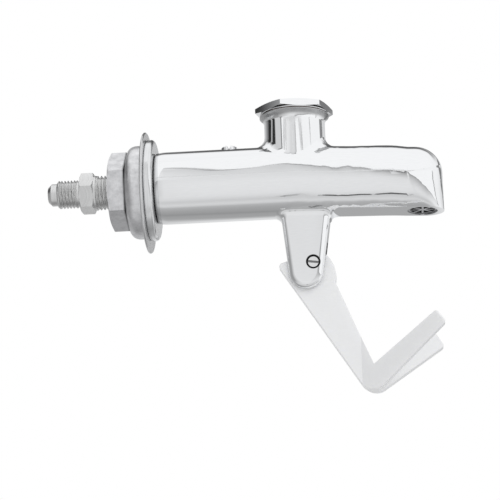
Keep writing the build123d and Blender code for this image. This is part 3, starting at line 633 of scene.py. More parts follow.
DULL_PLATING = Finish(
    "dull_plating", (0.86, 0.86, 0.87), (0.60, 0.60, 0.61), 0.34, 0.10, Marks.CAST, 0.9, 0.05,
    # Painted shade in the gap between the dome washer and the locknut.
    painted_shade=(PaintedShadeRing(SHANK_AXIS, FORWARD, (10.0, 17.0), (-8.6, -7.5), 0.9, 0.7),))
NICKEL = Finish("nickel_plating", (0.84, 0.84, 0.835), (0.60, 0.60, 0.595), 0.28, 0.09,
                Marks.TURNED, 0.25, 0.010)
BRASS = Finish("turned_brass", (0.78, 0.60, 0.30), (0.66, 0.48, 0.22), 0.25, 0.07,
               Marks.TURNED, 0.2, 0.008)
WIRE = Finish("spring_wire", (0.66, 0.66, 0.67), (0.50, 0.50, 0.51), 0.28, 0.06,
              Marks.DRAWN, 0.3, 0.004)
SCREW_STEEL = Finish(
    "screw_steel", (0.93, 0.93, 0.93), (0.84, 0.84, 0.84), 0.20, 0.05, Marks.TURNED, 0.15,
    0.002, centre=PIVOT, painted_shade=(
        # Painted shade on the pivot screw where it sits in its sink.
        PaintedShadeRing(PIVOT, LEFT, (-1.0, 3.0), (-1.0, 4.85), 0.1, 0.65),))
OUTLET_METAL = Finish("outlet_metal", (0.55, 0.55, 0.56), (0.36, 0.36, 0.37), 0.25, 0.08,
                      Marks.CAST, 0.6, 0.01)
RUBBER = Finish("black_rubber", (0.03, 0.03, 0.03), (0.05, 0.05, 0.05), 0.7, 0.1,
                Marks.CAST, 0.4, 0.01, metallic=0.0)
FIBRE = Finish("pressed_fibre", (0.28, 0.14, 0.09), (0.20, 0.10, 0.07), 0.8, 0.1,
               Marks.CAST, 0.3, 0.02, metallic=0.0)
NYLON = Finish("white_nylon", (0.845, 0.85, 0.86), (0.815, 0.82, 0.83), 0.42, 0.06,
               Marks.POLISHED, 5.0, 0.01, metallic=0.0, subsurface=0.35)

NODE_FINISHES: dict[Finish, tuple[str, ...]] = {
    CHROME: ("body", "bonnet_cap", "flow_screw"),
    SATIN_CHROME: ("front_flange",),
    DISC_STEEL: ("panel_washer",),
    DULL_PLATING: ("dome_washer", "locknut"),
    BRASS: ("valve_stem", "washer_nut", "valve_seat", "stem_bushing"),
    WIRE: ("return_spring",),
    SCREW_STEEL: ("pivot_screw",),
    OUTLET_METAL: ("outlet_straightener",),
    RUBBER: ("seat_washer", "lower_stem_ring", "upper_stem_ring", "flow_screw_ring"),
    FIBRE: ("shank_gasket", "cap_gasket", "seat_gasket"),
    NYLON: ("lever",),
}


class Wardrobe:
    """Builds each finish once and puts it on nodes and pieces.

    Attributes:
        built: the materials so far, by finish.
    """

    def __init__(self) -> None:
        """Start with no material."""
        self.built: dict[Finish, bpy.types.Material] = {}

    def material(self, finish: Finish) -> bpy.types.Material:
        """Return a finish's material.

        Args:
            finish: the finish.

        Returns:
            Its material.
        """
        if finish not in self.built:
            self.built[finish] = finish.build()
        return self.built[finish]

    def dress(self, thing: bpy.types.Object, finish: Finish) -> None:
        """Give an object one finish all over."""
        thing.data.materials.clear()
        thing.data.materials.append(self.material(finish))

    def dress_nodes(self) -> None:
        """Give every solid of the frame its finish."""
        for finish, names in NODE_FINISHES.items():
            for name in names:
                self.dress(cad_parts[name], finish)
                log.info("solid %s wears %s", name, finish.name)


# Pieces that stand for solids


@dataclass(frozen=True)
class Role:
    """What a new piece is called, stands for and wears.

    Attributes:
        name: the piece's name.
        node: the solid that it stands for.
        body: the body that it rides on.
        material_slot: the record's slot; not used.
        finish: its finish.
    """

    name: str
    node: str
    body: str
    material_slot: str
    finish: Finish

    def fill(self, points: np.ndarray, faces: np.ndarray, sharp_angle: float,
             wardrobe: Wardrobe) -> bpy.types.Object:
        """Make the piece that plays the role.

        Args:
            points: its points, in metres.
            faces: for each face, the numbers of its points.
            sharp_angle: smallest angle at which an edge stays sharp, in degrees.
            wardrobe: where the finish comes from.

        Returns:
            The new object.
        """
        mesh = bpy.data.meshes.new(self.name)
        mesh.from_pydata(points.tolist(), [], faces.tolist())
        mesh.shade_smooth()
        mesh.set_sharp_from_angle(angle=math.radians(sharp_angle))
        piece = add_object(self.name, mesh)
        wardrobe.dress(piece, self.finish)
        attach(piece, self.body)
        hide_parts(self.node)
        log.info("piece %s has %d faces", self.name, len(mesh.polygons))
        return piece


@dataclass(frozen=True)
class SmoothCopy:
    """Copy of a solid's mesh with its loose triangles joined, so that light runs smoothly on it.

    Attributes:
        role: what the copy is called, stands for and wears.
        sharp_angle: smallest angle at which an edge stays sharp, in degrees.
        weighted_above: height above which large triangles count for more in the normals, in
            millimetres, for straight walls between narrow blends.
        weight: how much more they count, from 50 for evenly to 100.
        join_distance: how near two points have to be to become one, in millimetres.
    """

    role: Role
    sharp_angle: float
    weighted_above: float
    weight: int = 100
    join_distance: float = 0.001

    def build(self, wardrobe: Wardrobe) -> bpy.types.Object:
        """Make the copy.

        Points that round to the same multiple of the joining distance become one point, and
        triangles that lose a corner by that are left out.

        Args:
            wardrobe: where the finish comes from.

        Returns:
            The new object.
        """
        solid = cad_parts[self.role.node].data
        points = np.empty(len(solid.vertices) * 3)
        solid.vertices.foreach_get("co", points)
        solid.calc_loop_triangles()
        corners = np.empty(len(solid.loop_triangles) * 3, dtype=np.int64)
        solid.loop_triangles.foreach_get("vertices", corners)
        points = points.reshape(-1, 3)
        rounded = np.round(points / (self.join_distance * MM)).astype(np.int64)
        _, first, place = np.unique(rounded, axis=0, return_index=True, return_inverse=True)
        faces = place.reshape(-1)[corners].reshape(-1, 3)
        whole = np.all(faces != np.roll(faces, 1, axis=1), axis=1)
        piece = self.role.fill(points[first], faces[whole], self.sharp_angle, wardrobe)
        straight = piece.vertex_groups.new(name="straight_walls")
        high_points = np.flatnonzero(points[first][:, 2] > self.weighted_above * MM)
        straight.add(high_points.tolist(), 1.0, "REPLACE")
        weighted = piece.modifiers.new("weighted_normals", "WEIGHTED_NORMAL")
        weighted.vertex_group = straight.name
        weighted.keep_sharp = True
        weighted.weight = self.weight
        return piece


@dataclass(frozen=True)
class CastBody:
    """Chromed casting: tube, neck, lug and spout."""

    sharp_angle: float = 14.0
    neck_foot: float = 9.5

    def build(self, wardrobe: Wardrobe) -> None:
        """Build the smooth copy of the casting."""
        role = Role("cast_body", "body", "housing", "chromed_brass", CHROME)
        SmoothCopy(role, self.sharp_angle, self.neck_foot).build(wardrobe)


@dataclass(frozen=True)
class ReturnSpring:
    """Spring between the cap and the stem's washer holder.

    Attributes:
        sharp_angle: smallest angle at which an edge stays sharp, in degrees.
        centre_x: place of its axis, in millimetres; not used.
        lift: how far the stem squeezes it, in millimetres; not used.
    """

    sharp_angle: float = 50.0
    centre_x: float = 58.2
    lift: float = 2.35

    def build(self, wardrobe: Wardrobe) -> None:
        """Build the smooth copy of the spring.

        Args:
            wardrobe: where the finish comes from.
        """
        role = Role("coiled_spring", "return_spring", "housing", "spring_steel", WIRE)
        spring = SmoothCopy(role, self.sharp_angle, 0.0).build(wardrobe)
        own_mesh(spring)


# Turned and threaded pieces


class Wall(Enum):
    """How a stretch of a turned piece's wall runs."""

    PLAIN = "plain"
    THREAD = "thread"
    HEX = "hex"


@dataclass(frozen=True)
class Stretch:
    """A stretch of a turned piece's wall, along the axis.

    Attributes:
        start: place where it starts, in millimetres along the axis.
        end: place where it ends.
        start_radius: radius at its start, or half the width across flats on a hex.
        end_radius: radius at its end.
        wall: how the wall runs.
        pitch: a thread's pitch.
        rows: rows of points along it.
    """

    start: float
    end: float
    start_radius: float
    end_radius: float
    wall: Wall = Wall.PLAIN
    pitch: float = 0.0
    rows: int = 2

    def from_ends(self, x: np.ndarray) -> np.ndarray:
        """Distance of places along the axis from the nearer end of the stretch."""
        low, high = min(self.start, self.end), max(self.start, self.end)
        return np.minimum(x - low, high - x)


@dataclass(frozen=True)
class TurnedPiece:
    """A piece turned about an axis along X, with threads and hexes cut into it.

    Attributes:
        role: what the piece is called, stands for and wears.
        height: height of its axis.
        stretches: its wall, out along the outside and back through the bore.
        hex_turn: angle of the hex's first corner, in degrees from +Y towards +Z.
        columns: points round the axis, a multiple of six.
        crest_width: half of a thread's flat crest, as a share of half its pitch.
        flank_width: a thread's flank, as a share of half its pitch.
        thread_depth: a thread's depth, as a share of its pitch.
        bevel: length over which a hex's corners are turned down, in millimetres.
        sharp_angle: smallest angle at which an edge stays sharp, in degrees.
    """

    role: Role
    height: float
    stretches: tuple[Stretch, ...]
    hex_turn: float = 0.0
    columns: int = 96
    crest_width: float = 0.14
    flank_width: float = 0.66
    thread_depth: float = 0.60
    bevel: float = 0.55
    sharp_angle: float = 28.0

    def angles(self) -> np.ndarray:
        """Angles of the columns, so that hex corners fall on columns."""
        step = 2 * math.pi / self.columns
        return math.radians(self.hex_turn) + np.arange(self.columns) * step

    def thread_radius(self, stretch: Stretch, x: np.ndarray, crest: np.ndarray) -> np.ndarray:
        """Radius of a right-hand thread.

        The turn of the helix at a point is (x - pitch * angle / 2 pi) / pitch. Its fraction gives
        the place between two crests: a flat crest, two straight flanks and a flat root. The
        depth fades over the last half turn at each end.

        Args:
            stretch: the threaded stretch.
            x: places along the axis, one for each row.
            crest: radius of the crests, one for each row.

        Returns:
            Radius for each row and column.
        """
        turn = x[:, None] / stretch.pitch - self.angles()[None, :] / (2 * math.pi)
        away = np.abs(2 * (turn % 1.0) - 1)
        groove = np.clip((away - self.crest_width) / self.flank_width, 0.0, 1.0)
        fade = np.clip(stretch.from_ends(x) / (0.5 * stretch.pitch), 0.0, 1.0)
        depth = self.thread_depth * stretch.pitch
        return crest[:, None] - depth * groove * fade[:, None]

    def hex_radius(self, stretch: Stretch, x: np.ndarray, flats: np.ndarray) -> np.ndarray:
        """Radius of a hex whose corners are turned down at both ends.

        A flat's radius is half the width across flats over the cosine of the angle from the
        flat's middle. The turned corners are a cone that starts at the flats' own radius.

        Args:
            stretch: the stretch with the hex.
            x: places along the axis, one for each row.
            flats: half the width across flats, one for each row.

        Returns:
            Radius for each row and column.
        """
        sixth = math.pi / 3
        from_middle = (self.angles() - math.radians(self.hex_turn)) % sixth - sixth / 2
        corner = flats / math.cos(sixth / 2)
        cone = flats + (corner - flats) * np.clip(stretch.from_ends(x) / self.bevel, 0.0, 1.0)
        return np.minimum(flats[:, None] / np.cos(from_middle)[None, :], cone[:, None])

    def rows(self, stretch: Stretch) -> tuple[np.ndarray, np.ndarray]:
        """Places along the axis and radii of one stretch, as arrays of rows and columns.

        Args:
            stretch: the stretch.

        Returns:
            The places and the radii.
        """
        x = np.linspace(stretch.start, stretch.end, stretch.rows)
        base = np.linspace(stretch.start_radius, stretch.end_radius, stretch.rows)
        if stretch.wall is Wall.THREAD:
            radius = self.thread_radius(stretch, x, base)
        elif stretch.wall is Wall.HEX:
            radius = self.hex_radius(stretch, x, base)
        else:
            radius = np.repeat(base[:, None], self.columns, axis=1)
        return np.repeat(x[:, None], self.columns, axis=1), radius

    def build(self, wardrobe: Wardrobe) -> bpy.types.Object:
        """Make the piece, a closed surface of rows along the wall and columns round the axis.

        A point is (x, radius * cos(angle), height + radius * sin(angle)). The last row joins the
        first, and the last column the first, so nothing is left open.

        Args:
            wardrobe: where the finish comes from.

        Returns:
            The new object.
        """
        made = [self.rows(stretch) for stretch in self.stretches]
        x = np.vstack([pair[0] for pair in made])
        radius = np.vstack([pair[1] for pair in made])
        angle = self.angles()[None, :]
        points = np.stack([x, radius * np.cos(angle), self.height + radius * np.sin(angle)],
                          axis=-1)
        row_count, column_count = x.shape
        index = np.arange(row_count * column_count).reshape(row_count, column_count)
        beside, above = np.roll(index, -1, axis=1), np.roll(index, -1, axis=0)
        corner = np.roll(above, -1, axis=1)
        faces = np.stack([index, beside, corner, above], axis=-1).reshape(-1, 4)
        return self.role.fill(points.reshape(-1, 3) * MM, faces, self.sharp_angle, wardrobe)


@dataclass(frozen=True)
class Adapter:
    """Flare by pipe thread adapter at the back.

    The tip and the other end come from the solid. Lengths are from the pipe thread's shoulder.
    """

    pipe_length: float = 15.0
    ring_length: float = 0.8
    hex_length: float = 5.6
    relief_length: float = 1.3
    flare_length: float = 7.8
    nose_length: float = 2.4
    pipe_radius: float = 6.86
    pipe_taper: float = 1.0 / 32.0
    ring_radius: float = 6.9
    across_flats: float = 14.3
    relief_radius: float = 5.0
    flare_radius: float = 5.56
    nose_radius: float = 4.4
    bore_radius: float = 2.75
    chamfer: float = 0.6
    flare_pitch: float = 1.27
    pipe_pitch: float = 1.411
    hex_turn: float = 52.9

    def piece(self) -> TurnedPiece:
        """Describe the adapter's wall from the flare's tip to the pipe thread's end, and back.

        Returns:
            The piece, ready to build.
        """
        low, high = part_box("flare_adapter")
        tip, end = low.x / MM, high.x / MM
        shoulder = end - self.pipe_length
        hex_front = shoulder - self.ring_length
        hex_back = hex_front - self.hex_length
        flare_front = hex_back - self.relief_length
        flare_back = flare_front - self.flare_length
        nose_back = flare_back - self.nose_length
        tip_radius = self.nose_radius - (nose_back - tip)
        pipe_end_radius = self.pipe_radius - self.pipe_length * self.pipe_taper
        thread_back = flare_back + self.chamfer
        flats = self.across_flats / 2
        stretches = (
            Stretch(tip, nose_back, tip_radius, self.nose_radius, rows=3),
            Stretch(nose_back, flare_back, self.nose_radius, self.nose_radius),
            Stretch(flare_back, thread_back, self.flare_radius - self.chamfer, self.flare_radius),
            Stretch(thread_back, flare_front, self.flare_radius, self.flare_radius,
                    Wall.THREAD, self.flare_pitch, rows=72),
            Stretch(flare_front, hex_back, self.relief_radius, self.relief_radius),
            Stretch(hex_back, hex_front, flats, flats, Wall.HEX, rows=41),
            Stretch(hex_front, shoulder, self.ring_radius, self.ring_radius),
            Stretch(shoulder, end, self.pipe_radius, pipe_end_radius, Wall.THREAD,
                    self.pipe_pitch, rows=128),
            Stretch(end, tip, self.bore_radius, self.bore_radius),
        )
        role = Role("threaded_adapter", "flare_adapter", "housing", "nickel_plating", NICKEL)
        return TurnedPiece(role, (low.z + high.z) / 2 / MM, stretches, self.hex_turn, columns=120)


@dataclass(frozen=True)
class Shank:
    """Threaded shank that goes through the panel. Its ends and radius come from the solid."""

    pitch: float = 1.411
    chamfer: float = 0.6
    bore_radius: float = 4.5
    socket_depth: float = 15.0
    socket_radius: float = 6.7
    socket_end_radius: float = 6.24

    def piece(self) -> TurnedPiece:
        """Describe the shank's wall from its back to its front, and back through its bore.

        Returns:
            The piece, ready to build.
        """
        low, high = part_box("shank")
        back, front = low.x / MM, high.x / MM
        radius = (high.z - low.z) / 2 / MM
        socket_end = back + self.socket_depth
        thread_back, thread_front = back + self.chamfer, front - self.chamfer
        stretches = (
            Stretch(back, thread_back, radius - self.chamfer, radius),
            Stretch(thread_back, thread_front, radius, radius, Wall.THREAD, self.pitch, rows=240),
            Stretch(thread_front, front, radius, radius - self.chamfer),
            Stretch(front, socket_end, self.bore_radius, self.bore_radius),
            Stretch(socket_end, back, self.socket_end_radius, self.socket_radius),
        )
        role = Role("threaded_shank", "shank", "housing", "chromed_brass", CHROME)
        return TurnedPiece(role, (low.z + high.z) / 2 / MM, stretches)


# Stage


@dataclass(frozen=True)
class Daylight:
    """Plain light from all round. The camera and shiny surfaces see it white."""

    strength: float = 0.76

    def build(self) -> None:
        """Set the scene's world."""
        world = bpy.data.worlds.new("daylight")
        bpy.context.scene.world = world
        sketch = blank_tree(world)
        plain = sketch.node("ShaderNodeBackground", {
            "Color": (1.0, 1.0, 1.0, 1.0), "Strength": self.strength})
        white = sketch.node("ShaderNodeBackground", {
            "Color": (1.0, 1.0, 1.0, 1.0), "Strength": 1.0})
        path = sketch.node("ShaderNodeLightPath").outputs
        seen = sketch.math("MAXIMUM", path["Is Camera Ray"], path["Is Glossy Ray"])
        seen = sketch.math("MAXIMUM", seen, path["Is Transmission Ray"])
        sketch.node("ShaderNodeOutputWorld", {
            "Surface": sketch.mix_shaders(seen, plain, white)})


class View(Enum):
    """A measure of where something is in the tent, as seen from the tent's middle.

    Angles are in degrees. The hoop angle goes round the object's long axis, 0 in front and 90
    above. The compass angle goes round an upright axis, 0 in front and 90 towards the spout.
    """

    HOOP = "hoop angle"
    FROM_FRONT = "hoop angle, either way from the front"
    COMPASS = "compass angle"
    HEIGHT = "angle above the horizon"
    SIDEWAYS = "share of the direction that goes towards the spout"
    UPWARDS = "share of the direction that goes up"


Views = Mapping[View, bpy.types.NodeSocket]


@dataclass(frozen=True)
class Span:
    """Range of one measure, with soft ends.

    Attributes:
        view: the measure.
        low: where the range starts.
        high: where it ends.
        soft: over how much it fades, outside the range.
    """

    view: View
    low: float
    high: float
    soft: float

    def mask(self, sketch: NodeSketch, views: Views) -> bpy.types.NodeSocket:
        """Return 1 inside the range, fading to 0 outside it."""
        return sketch.band(views[self.view], self.low, self.high, self.soft)


@dataclass(frozen=True)
class DarkBar:
    """Dark bar or patch, where two spans cross.

    Attributes:
        across: the first span.
        along: the second span.
        depth: how much light it takes away.
    """

    across: Span
    along: Span
    depth: float

    def light_left(self, sketch: NodeSketch, views: Views) -> bpy.types.NodeSocket:
        """Return the share of light that the bar leaves."""
        mask = sketch.times(self.across.mask(sketch, views), self.along.mask(sketch, views))
        return sketch.left(mask, self.depth)


@dataclass(frozen=True)
class Curtain:
    """Curtain in front: white above its edge, and dark at the edge and below it.

    Attributes:
        edge: compass angle, the edge's height, how dark its line is, how dark it is right below
            it, and over how many degrees that darkness fades.
        hung: where the curtain hangs.
        line_width: width of the edge's line, in degrees.
        line_soft: over how much the line fades.
        half_step: half the width of the step from white to dark.
        white: brightness above the edge.
        span: range of heights that the ramps can hold.
        base: lowest height that they can hold.
    """

    edge: tuple[tuple[float, float, float, float, float], ...] = (
        (-27.0, 17.0, 0.00, 0.00, 10.0), (-25.0, 50.0, 0.35, 0.10, 10.0),
        (-22.0, 48.2, 0.40, 0.12, 10.0), (-18.3, 44.0, 0.42, 0.12, 10.0),
        (-14.8, 38.1, 0.45, 0.12, 10.0), (-12.3, 34.6, 0.50, 0.12, 10.0),
        (-10.0, 34.4, 0.50, 0.12, 10.0), (-9.0, 36.0, 0.55, 0.12, 10.0),
        (-8.5, 40.5, 0.55, 0.12, 10.0), (-8.0, 44.5, 0.55, 0.12, 10.0),
        (-7.3, 46.8, 0.50, 0.12, 10.0), (-6.5, 46.6, 0.50, 0.14, 10.0),
        (-4.5, 43.0, 0.50, 0.16, 10.0), (-2.0, 40.7, 0.50, 0.20, 10.0),
        (0.0, 40.0, 0.55, 0.28, 10.0), (2.3, 36.7, 0.65, 0.42, 11.0),
        (3.2, 33.4, 0.72, 0.50, 11.0), (4.7, 26.6, 0.75, 0.58, 11.0),
        (6.0, 19.4, 0.90, 0.85, 10.0), (7.5, 17.6, 0.90, 0.85, 10.0),
        (9.0, 15.5, 0.75, 0.66, 14.0), (15.3, 9.8, 0.65, 0.58, 20.0),
        (28.8, 3.8, 0.62, 0.58, 20.0), (41.4, -2.3, 0.60, 0.56, 20.0),
        (54.6, -6.9, 0.60, 0.54, 18.0), (63.3, -9.5, 0.52, 0.40, 14.0),
        (76.0, -10.2, 0.36, 0.22, 10.0), (86.0, -12.4, 0.20, 0.10, 10.0),
        (92.0, -13.0, 0.10, 0.00, 10.0),
    )
    hung: Span = Span(View.COMPASS, -46.0, 92.0, 1.5)
    line_width: float = 2.0
    line_soft: float = 0.7
    half_step: float = 0.5
    white: float = 1.03
    span: float = 80.0
    base: float = -20.0

    def hang(self, sketch: NodeSketch, views: Views, seen: Value) -> Value:
        """Hang the curtain before what is seen so far.

        The darkness below the edge is the given one times exp(-drop / reach), where the drop is
        the angle below the edge.

        Args:
            sketch: the cloth's tree.
            views: where each place of the tent is.
            seen: brightness without the curtain.

        Returns:
            Brightness with the curtain.
        """
        compass = views[View.COMPASS]
        angles, edges, lines, folds, reaches = zip(*self.edge)
        shares = [(value - self.base) / self.span for value in edges]
        edge = sketch.math("MULTIPLY_ADD", sketch.ramp(compass, list(zip(angles, shares))),
                           self.span, self.base)
        drop = sketch.math("SUBTRACT", edge, views[View.HEIGHT])
        shares = [value / self.span for value in reaches]
        reach = sketch.times(sketch.ramp(compass, list(zip(angles, shares))), self.span)
        fading = sketch.math("EXPONENT", sketch.times(sketch.math("DIVIDE", drop, reach), -1.0))
        under = sketch.fade(drop, -self.half_step, self.half_step)
        fold = sketch.times(fading, under, sketch.ramp(compass, list(zip(angles, folds))))
        line = sketch.times(sketch.band(drop, 0.0, self.line_width, self.line_soft),
                            sketch.ramp(compass, list(zip(angles, lines))))
        hung = self.hung.mask(sketch, views)
        above = sketch.times(sketch.left(under, 1.0), hung)
        dark = sketch.times(sketch.math("MAXIMUM", fold, line), hung)
        return sketch.times(sketch.mix(above, seen, self.white), sketch.left(dark, 1.0))


@dataclass(frozen=True)
class Window:
    """Grey oval window with a dark rim, in a white band.

    Attributes:
        turn: compass angle of its middle.
        rise: height of its middle.
        half_width: half its width.
        half_height: half its height.
        levels: brightness from the window's middle, at 0, over its rim, at 1, to the band.
        height_span: the band's height.
        compass_span: the band's reach.
    """

    turn: float = -7.0
    rise: float = 19.4
    half_width: float = 37.0
    half_height: float = 1.2
    levels: Stops = ((0.0, 0.74), (0.90, 0.74), (0.95, 0.38), (1.0, 0.38), (1.05, 1.0), (2.0, 1.0))
    height_span: Span = Span(View.HEIGHT, 17.6, 20.8, 0.1)
    compass_span: Span = Span(View.COMPASS, -41.0, 109.0, 1.5)

    def open(self, sketch: NodeSketch, views: Views, seen: Value) -> Value:
        """Put the window before what is seen so far.

        The distance from the window's middle is the length of the two angles, each over the
        window's half size that way, so it is 1 on the rim.

        Args:
            sketch: the cloth's tree.
            views: where each place of the tent is.
            seen: brightness without the window.

        Returns:
            Brightness with the window.
        """
        across = sketch.math("DIVIDE", sketch.math("SUBTRACT", views[View.COMPASS], self.turn),
                             self.half_width)
        up = sketch.math("DIVIDE", sketch.math("SUBTRACT", views[View.HEIGHT], self.rise),
                         self.half_height)
        squares = sketch.times(across, across), sketch.times(up, up)
        away = sketch.math("SQRT", sketch.math("ADD", *squares))
        band = sketch.times(self.height_span.mask(sketch, views),
                            self.compass_span.mask(sketch, views))
        return sketch.mix(band, seen, sketch.ramp(away, self.levels))


@dataclass(frozen=True)
class FarEdge:
    """Dark upright edge beyond the spout, whose compass angle follows the height.

    Attributes:
        course: pairs of height and compass angle.
        nearer_span: heights between which it stands nearer.
        nearer: its compass angle there.
        before: how far it reaches before its compass angle.
        beyond: how far it reaches beyond.
        soft: over how much it fades.
        heights: the edge's own height.
        depth: how much light it takes away.
        turn: range of compass angles that the ramp can hold.
    """

    course: Stops = (
        (10.0, 146.0), (11.4, 143.0), (12.0, 137.0), (13.4, 133.0), (14.0, 128.0), (17.0, 125.0),
        (20.0, 127.0), (27.0, 138.0), (28.0, 152.0),
    )
    nearer_span: Span = Span(View.HEIGHT, 17.6, 20.8, 0.1)
    nearer: float = 114.5
    before: float = 3.0
    beyond: float = 12.0
    soft: float = 3.0
    heights: Span = Span(View.HEIGHT, -25.0, 33.0, 4.0)
    depth: float = 0.72
    turn: float = 180.0

    def light_left(self, sketch: NodeSketch, views: Views) -> bpy.types.NodeSocket:
        """Return the share of light that the edge leaves.

        Args:
            sketch: the cloth's tree.
            views: where each place of the tent is.

        Returns:
            The share of light.
        """
        stops = [(height, angle / self.turn) for height, angle in self.course]
        wanted = sketch.times(sketch.ramp(views[View.HEIGHT], stops), self.turn)
        wanted = sketch.mix(self.nearer_span.mask(sketch, views), wanted, self.nearer)
        off = sketch.math("SUBTRACT", views[View.COMPASS], wanted)
        mask = sketch.times(sketch.band(off, -self.before, self.beyond, self.soft),
                            self.heights.mask(sketch, views))
        return sketch.left(mask, self.depth)


@dataclass(frozen=True)
class Tent:
    """Round white tent close about the object, that only shiny surfaces see.

    It has the darker things that the chrome shows.

    Attributes:
        tint: the cloth's colour.
        middle: the tent's middle.
        radius: the tent's radius.
        rings: rings of points from bottom to top.
        columns: points round each ring.
        hoop: pairs of hoop angle and brightness.
        compass: pairs of compass angle and brightness, for what stands at the sides.
        low_compass: the same, nearer the ground.
        side_start: share of the direction sideways at which the sides start to count.
        side_whole: share at which only they count.
        pole_start: share of the direction up or down at which they start to fade.
        pole_whole: share at which they are gone.
        low_top: height below which only the low compass counts.
        high_foot: height above which only the other one does.
        curtain: the curtain in front.
        window: the window above it.
        far_edge: the edge beyond the spout.
        bars: the rod low in front, two thin slits, and the dim patch low behind, which the
            milled flat faces.
    """

    tint: tuple[float, float, float, float] = (0.985, 0.99, 1.0, 1.0)
    middle: Place = (0.06, 0.0, 0.0)
    radius: float = 0.36
    rings: int = 48
    columns: int = 96
    hoop: Stops = (
        (-180, 0.80), (-158, 0.78), (-151, 0.62), (-144, 0.50), (-136, 0.40), (-120, 0.39),
        (-110, 0.325), (-105, 0.36), (-97, 0.395), (-89, 0.44), (-81, 0.51), (-77.5, 0.65),
        (-72, 0.74), (-62, 0.65), (-53, 0.755), (-44, 0.82), (-31, 0.845), (-6, 0.86),
        (13, 0.81), (25, 0.78), (40, 0.76), (50, 0.9), (58, 1.0), (112, 1.03), (120, 0.9),
        (125, 0.12), (149, 0.12), (156, 0.8), (180, 0.80),
    )
    compass: Stops = (
        (-180, 0.72), (-146, 0.62), (-128, 0.36), (-114, 0.16), (-110, 0.03), (-97, 0.03),
        (-94, 0.50), (-90, 0.50), (-87, 0.03), (-77, 0.03), (-73, 0.68), (-51, 0.68),
        (-49, 0.14), (-43, 0.14), (-41, 0.86), (30, 0.95), (106, 1.0), (118, 0.92),
        (130, 0.78), (150, 0.70), (180, 0.72),
    )
    low_compass: Stops = (
        (-180, 0.72), (-140, 0.60), (-110, 0.42), (-80, 0.34), (-60, 0.36), (-40, 0.62),
        (-15, 0.84), (30, 0.92), (106, 0.98), (130, 0.78), (150, 0.70), (180, 0.72),
    )
    side_start: float = 0.16
    side_whole: float = 0.34
    pole_start: float = 0.45
    pole_whole: float = 0.80
    low_top: float = 8.0
    high_foot: float = 13.0
    curtain: Curtain = Curtain()
    window: Window = Window()
    far_edge: FarEdge = FarEdge()
    bars: tuple[DarkBar, ...] = (
        DarkBar(Span(View.HOOP, -59.3, -55.7, 0.8), Span(View.SIDEWAYS, -0.046, 0.062, 0.01),
                0.86),
        DarkBar(Span(View.COMPASS, 88.2, 90.2, 1.0), Span(View.HEIGHT, -13.0, 14.5, 2.0), 0.68),
        DarkBar(Span(View.COMPASS, 59.4, 61.6, 1.2), Span(View.HEIGHT, 19.15, 20.25, 0.25),
                0.68),
        DarkBar(Span(View.SIDEWAYS, -0.03, 0.13, 0.03), Span(View.FROM_FRONT, 155.0, 200.0, 4.0),
                0.46),
    )

    def build(self) -> None:
        """Make the tent: a sphere of rings and columns, closed at its poles.

        A ring at angle a above the middle has the radius times cos(a), at the height radius
        times sin(a).
        """
        rise = np.linspace(-math.pi / 2, math.pi / 2, self.rings)[1:-1, None]
        turn = (np.arange(self.columns) * (2 * math.pi / self.columns))[None, :]
        rounds = np.stack([np.cos(rise) * np.cos(turn), np.cos(rise) * np.sin(turn),
                           np.sin(rise) + 0.0 * turn], axis=-1).reshape(-1, 3)
        poles = (0.0, 0.0, -1.0), (0.0, 0.0, 1.0)
        points = np.vstack([rounds, *poles]) * self.radius + self.middle
        index = np.arange(len(rounds)).reshape(-1, self.columns)
        beside = np.roll(index, -1, axis=1)
        sides = np.stack([index[:-1], index[1:], beside[1:], beside[:-1]], axis=-1)
        foot, top = len(rounds), len(rounds) + 1
        bottom_faces = [(foot, a, b) for a, b in zip(index[0].tolist(), beside[0].tolist())]
        top_faces = [(top, b, a) for a, b in zip(index[-1].tolist(), beside[-1].tolist())]
        mesh = bpy.data.meshes.new("white_tent")
        mesh.from_pydata(points.tolist(), [],
                         sides.reshape(-1, 4).tolist() + bottom_faces + top_faces)
        mesh.materials.append(self.cloth())
        tent = add_object("white_tent", mesh)
        for kind in ("camera", "diffuse", "transmission", "volume_scatter", "shadow"):
            setattr(tent, "visible_" + kind, False)
        log.info("the tent is up")

    def cloth(self) -> bpy.types.Material:
        """Make the tent's material, which shines with the brightness of each place.

        Returns:
            The new material.
        """
        material = bpy.data.materials.new("tent_cloth")
        material.cycles.emission_sampling = "NONE"
        sketch = blank_tree(material)
        views = self.views(sketch)
        seen = self.walls(sketch, views)
        seen = self.curtain.hang(sketch, views, seen)
        seen = self.window.open(sketch, views, seen)
        for dark in (*self.bars, self.far_edge):
            seen = sketch.times(seen, dark.light_left(sketch, views))
        glow = sketch.node("ShaderNodeEmission", {"Color": self.tint, "Strength": seen})
        sketch.node("ShaderNodeOutputMaterial", {"Surface": glow.outputs["Emission"]})
        return material

    def views(self, sketch: NodeSketch) -> Views:
        """Measure where each place is, as seen from the tent's middle.

        Args:
            sketch: the cloth's tree.

        Returns:
            Each measure's output.
        """
        place = sketch.node("ShaderNodeTexCoord").outputs["Object"]
        arm = sketch.vector("SUBTRACT", place, self.middle).outputs["Vector"]
        direction = sketch.vector("NORMALIZE", arm).outputs["Vector"]
        parts = sketch.node("ShaderNodeSeparateXYZ", {"Vector": direction}).outputs
        front = sketch.times(parts["Y"], -1.0)
        hoop = sketch.math("DEGREES", sketch.math("ARCTAN2", parts["Z"], front))
        return {
            View.HOOP: hoop,
            View.FROM_FRONT: sketch.math("ABSOLUTE", hoop),
            View.COMPASS: sketch.math("DEGREES", sketch.math("ARCTAN2", parts["X"], front)),
            View.HEIGHT: sketch.math("DEGREES", sketch.math("ARCSINE", parts["Z"])),
            View.SIDEWAYS: parts["X"],
            View.UPWARDS: parts["Z"],
        }

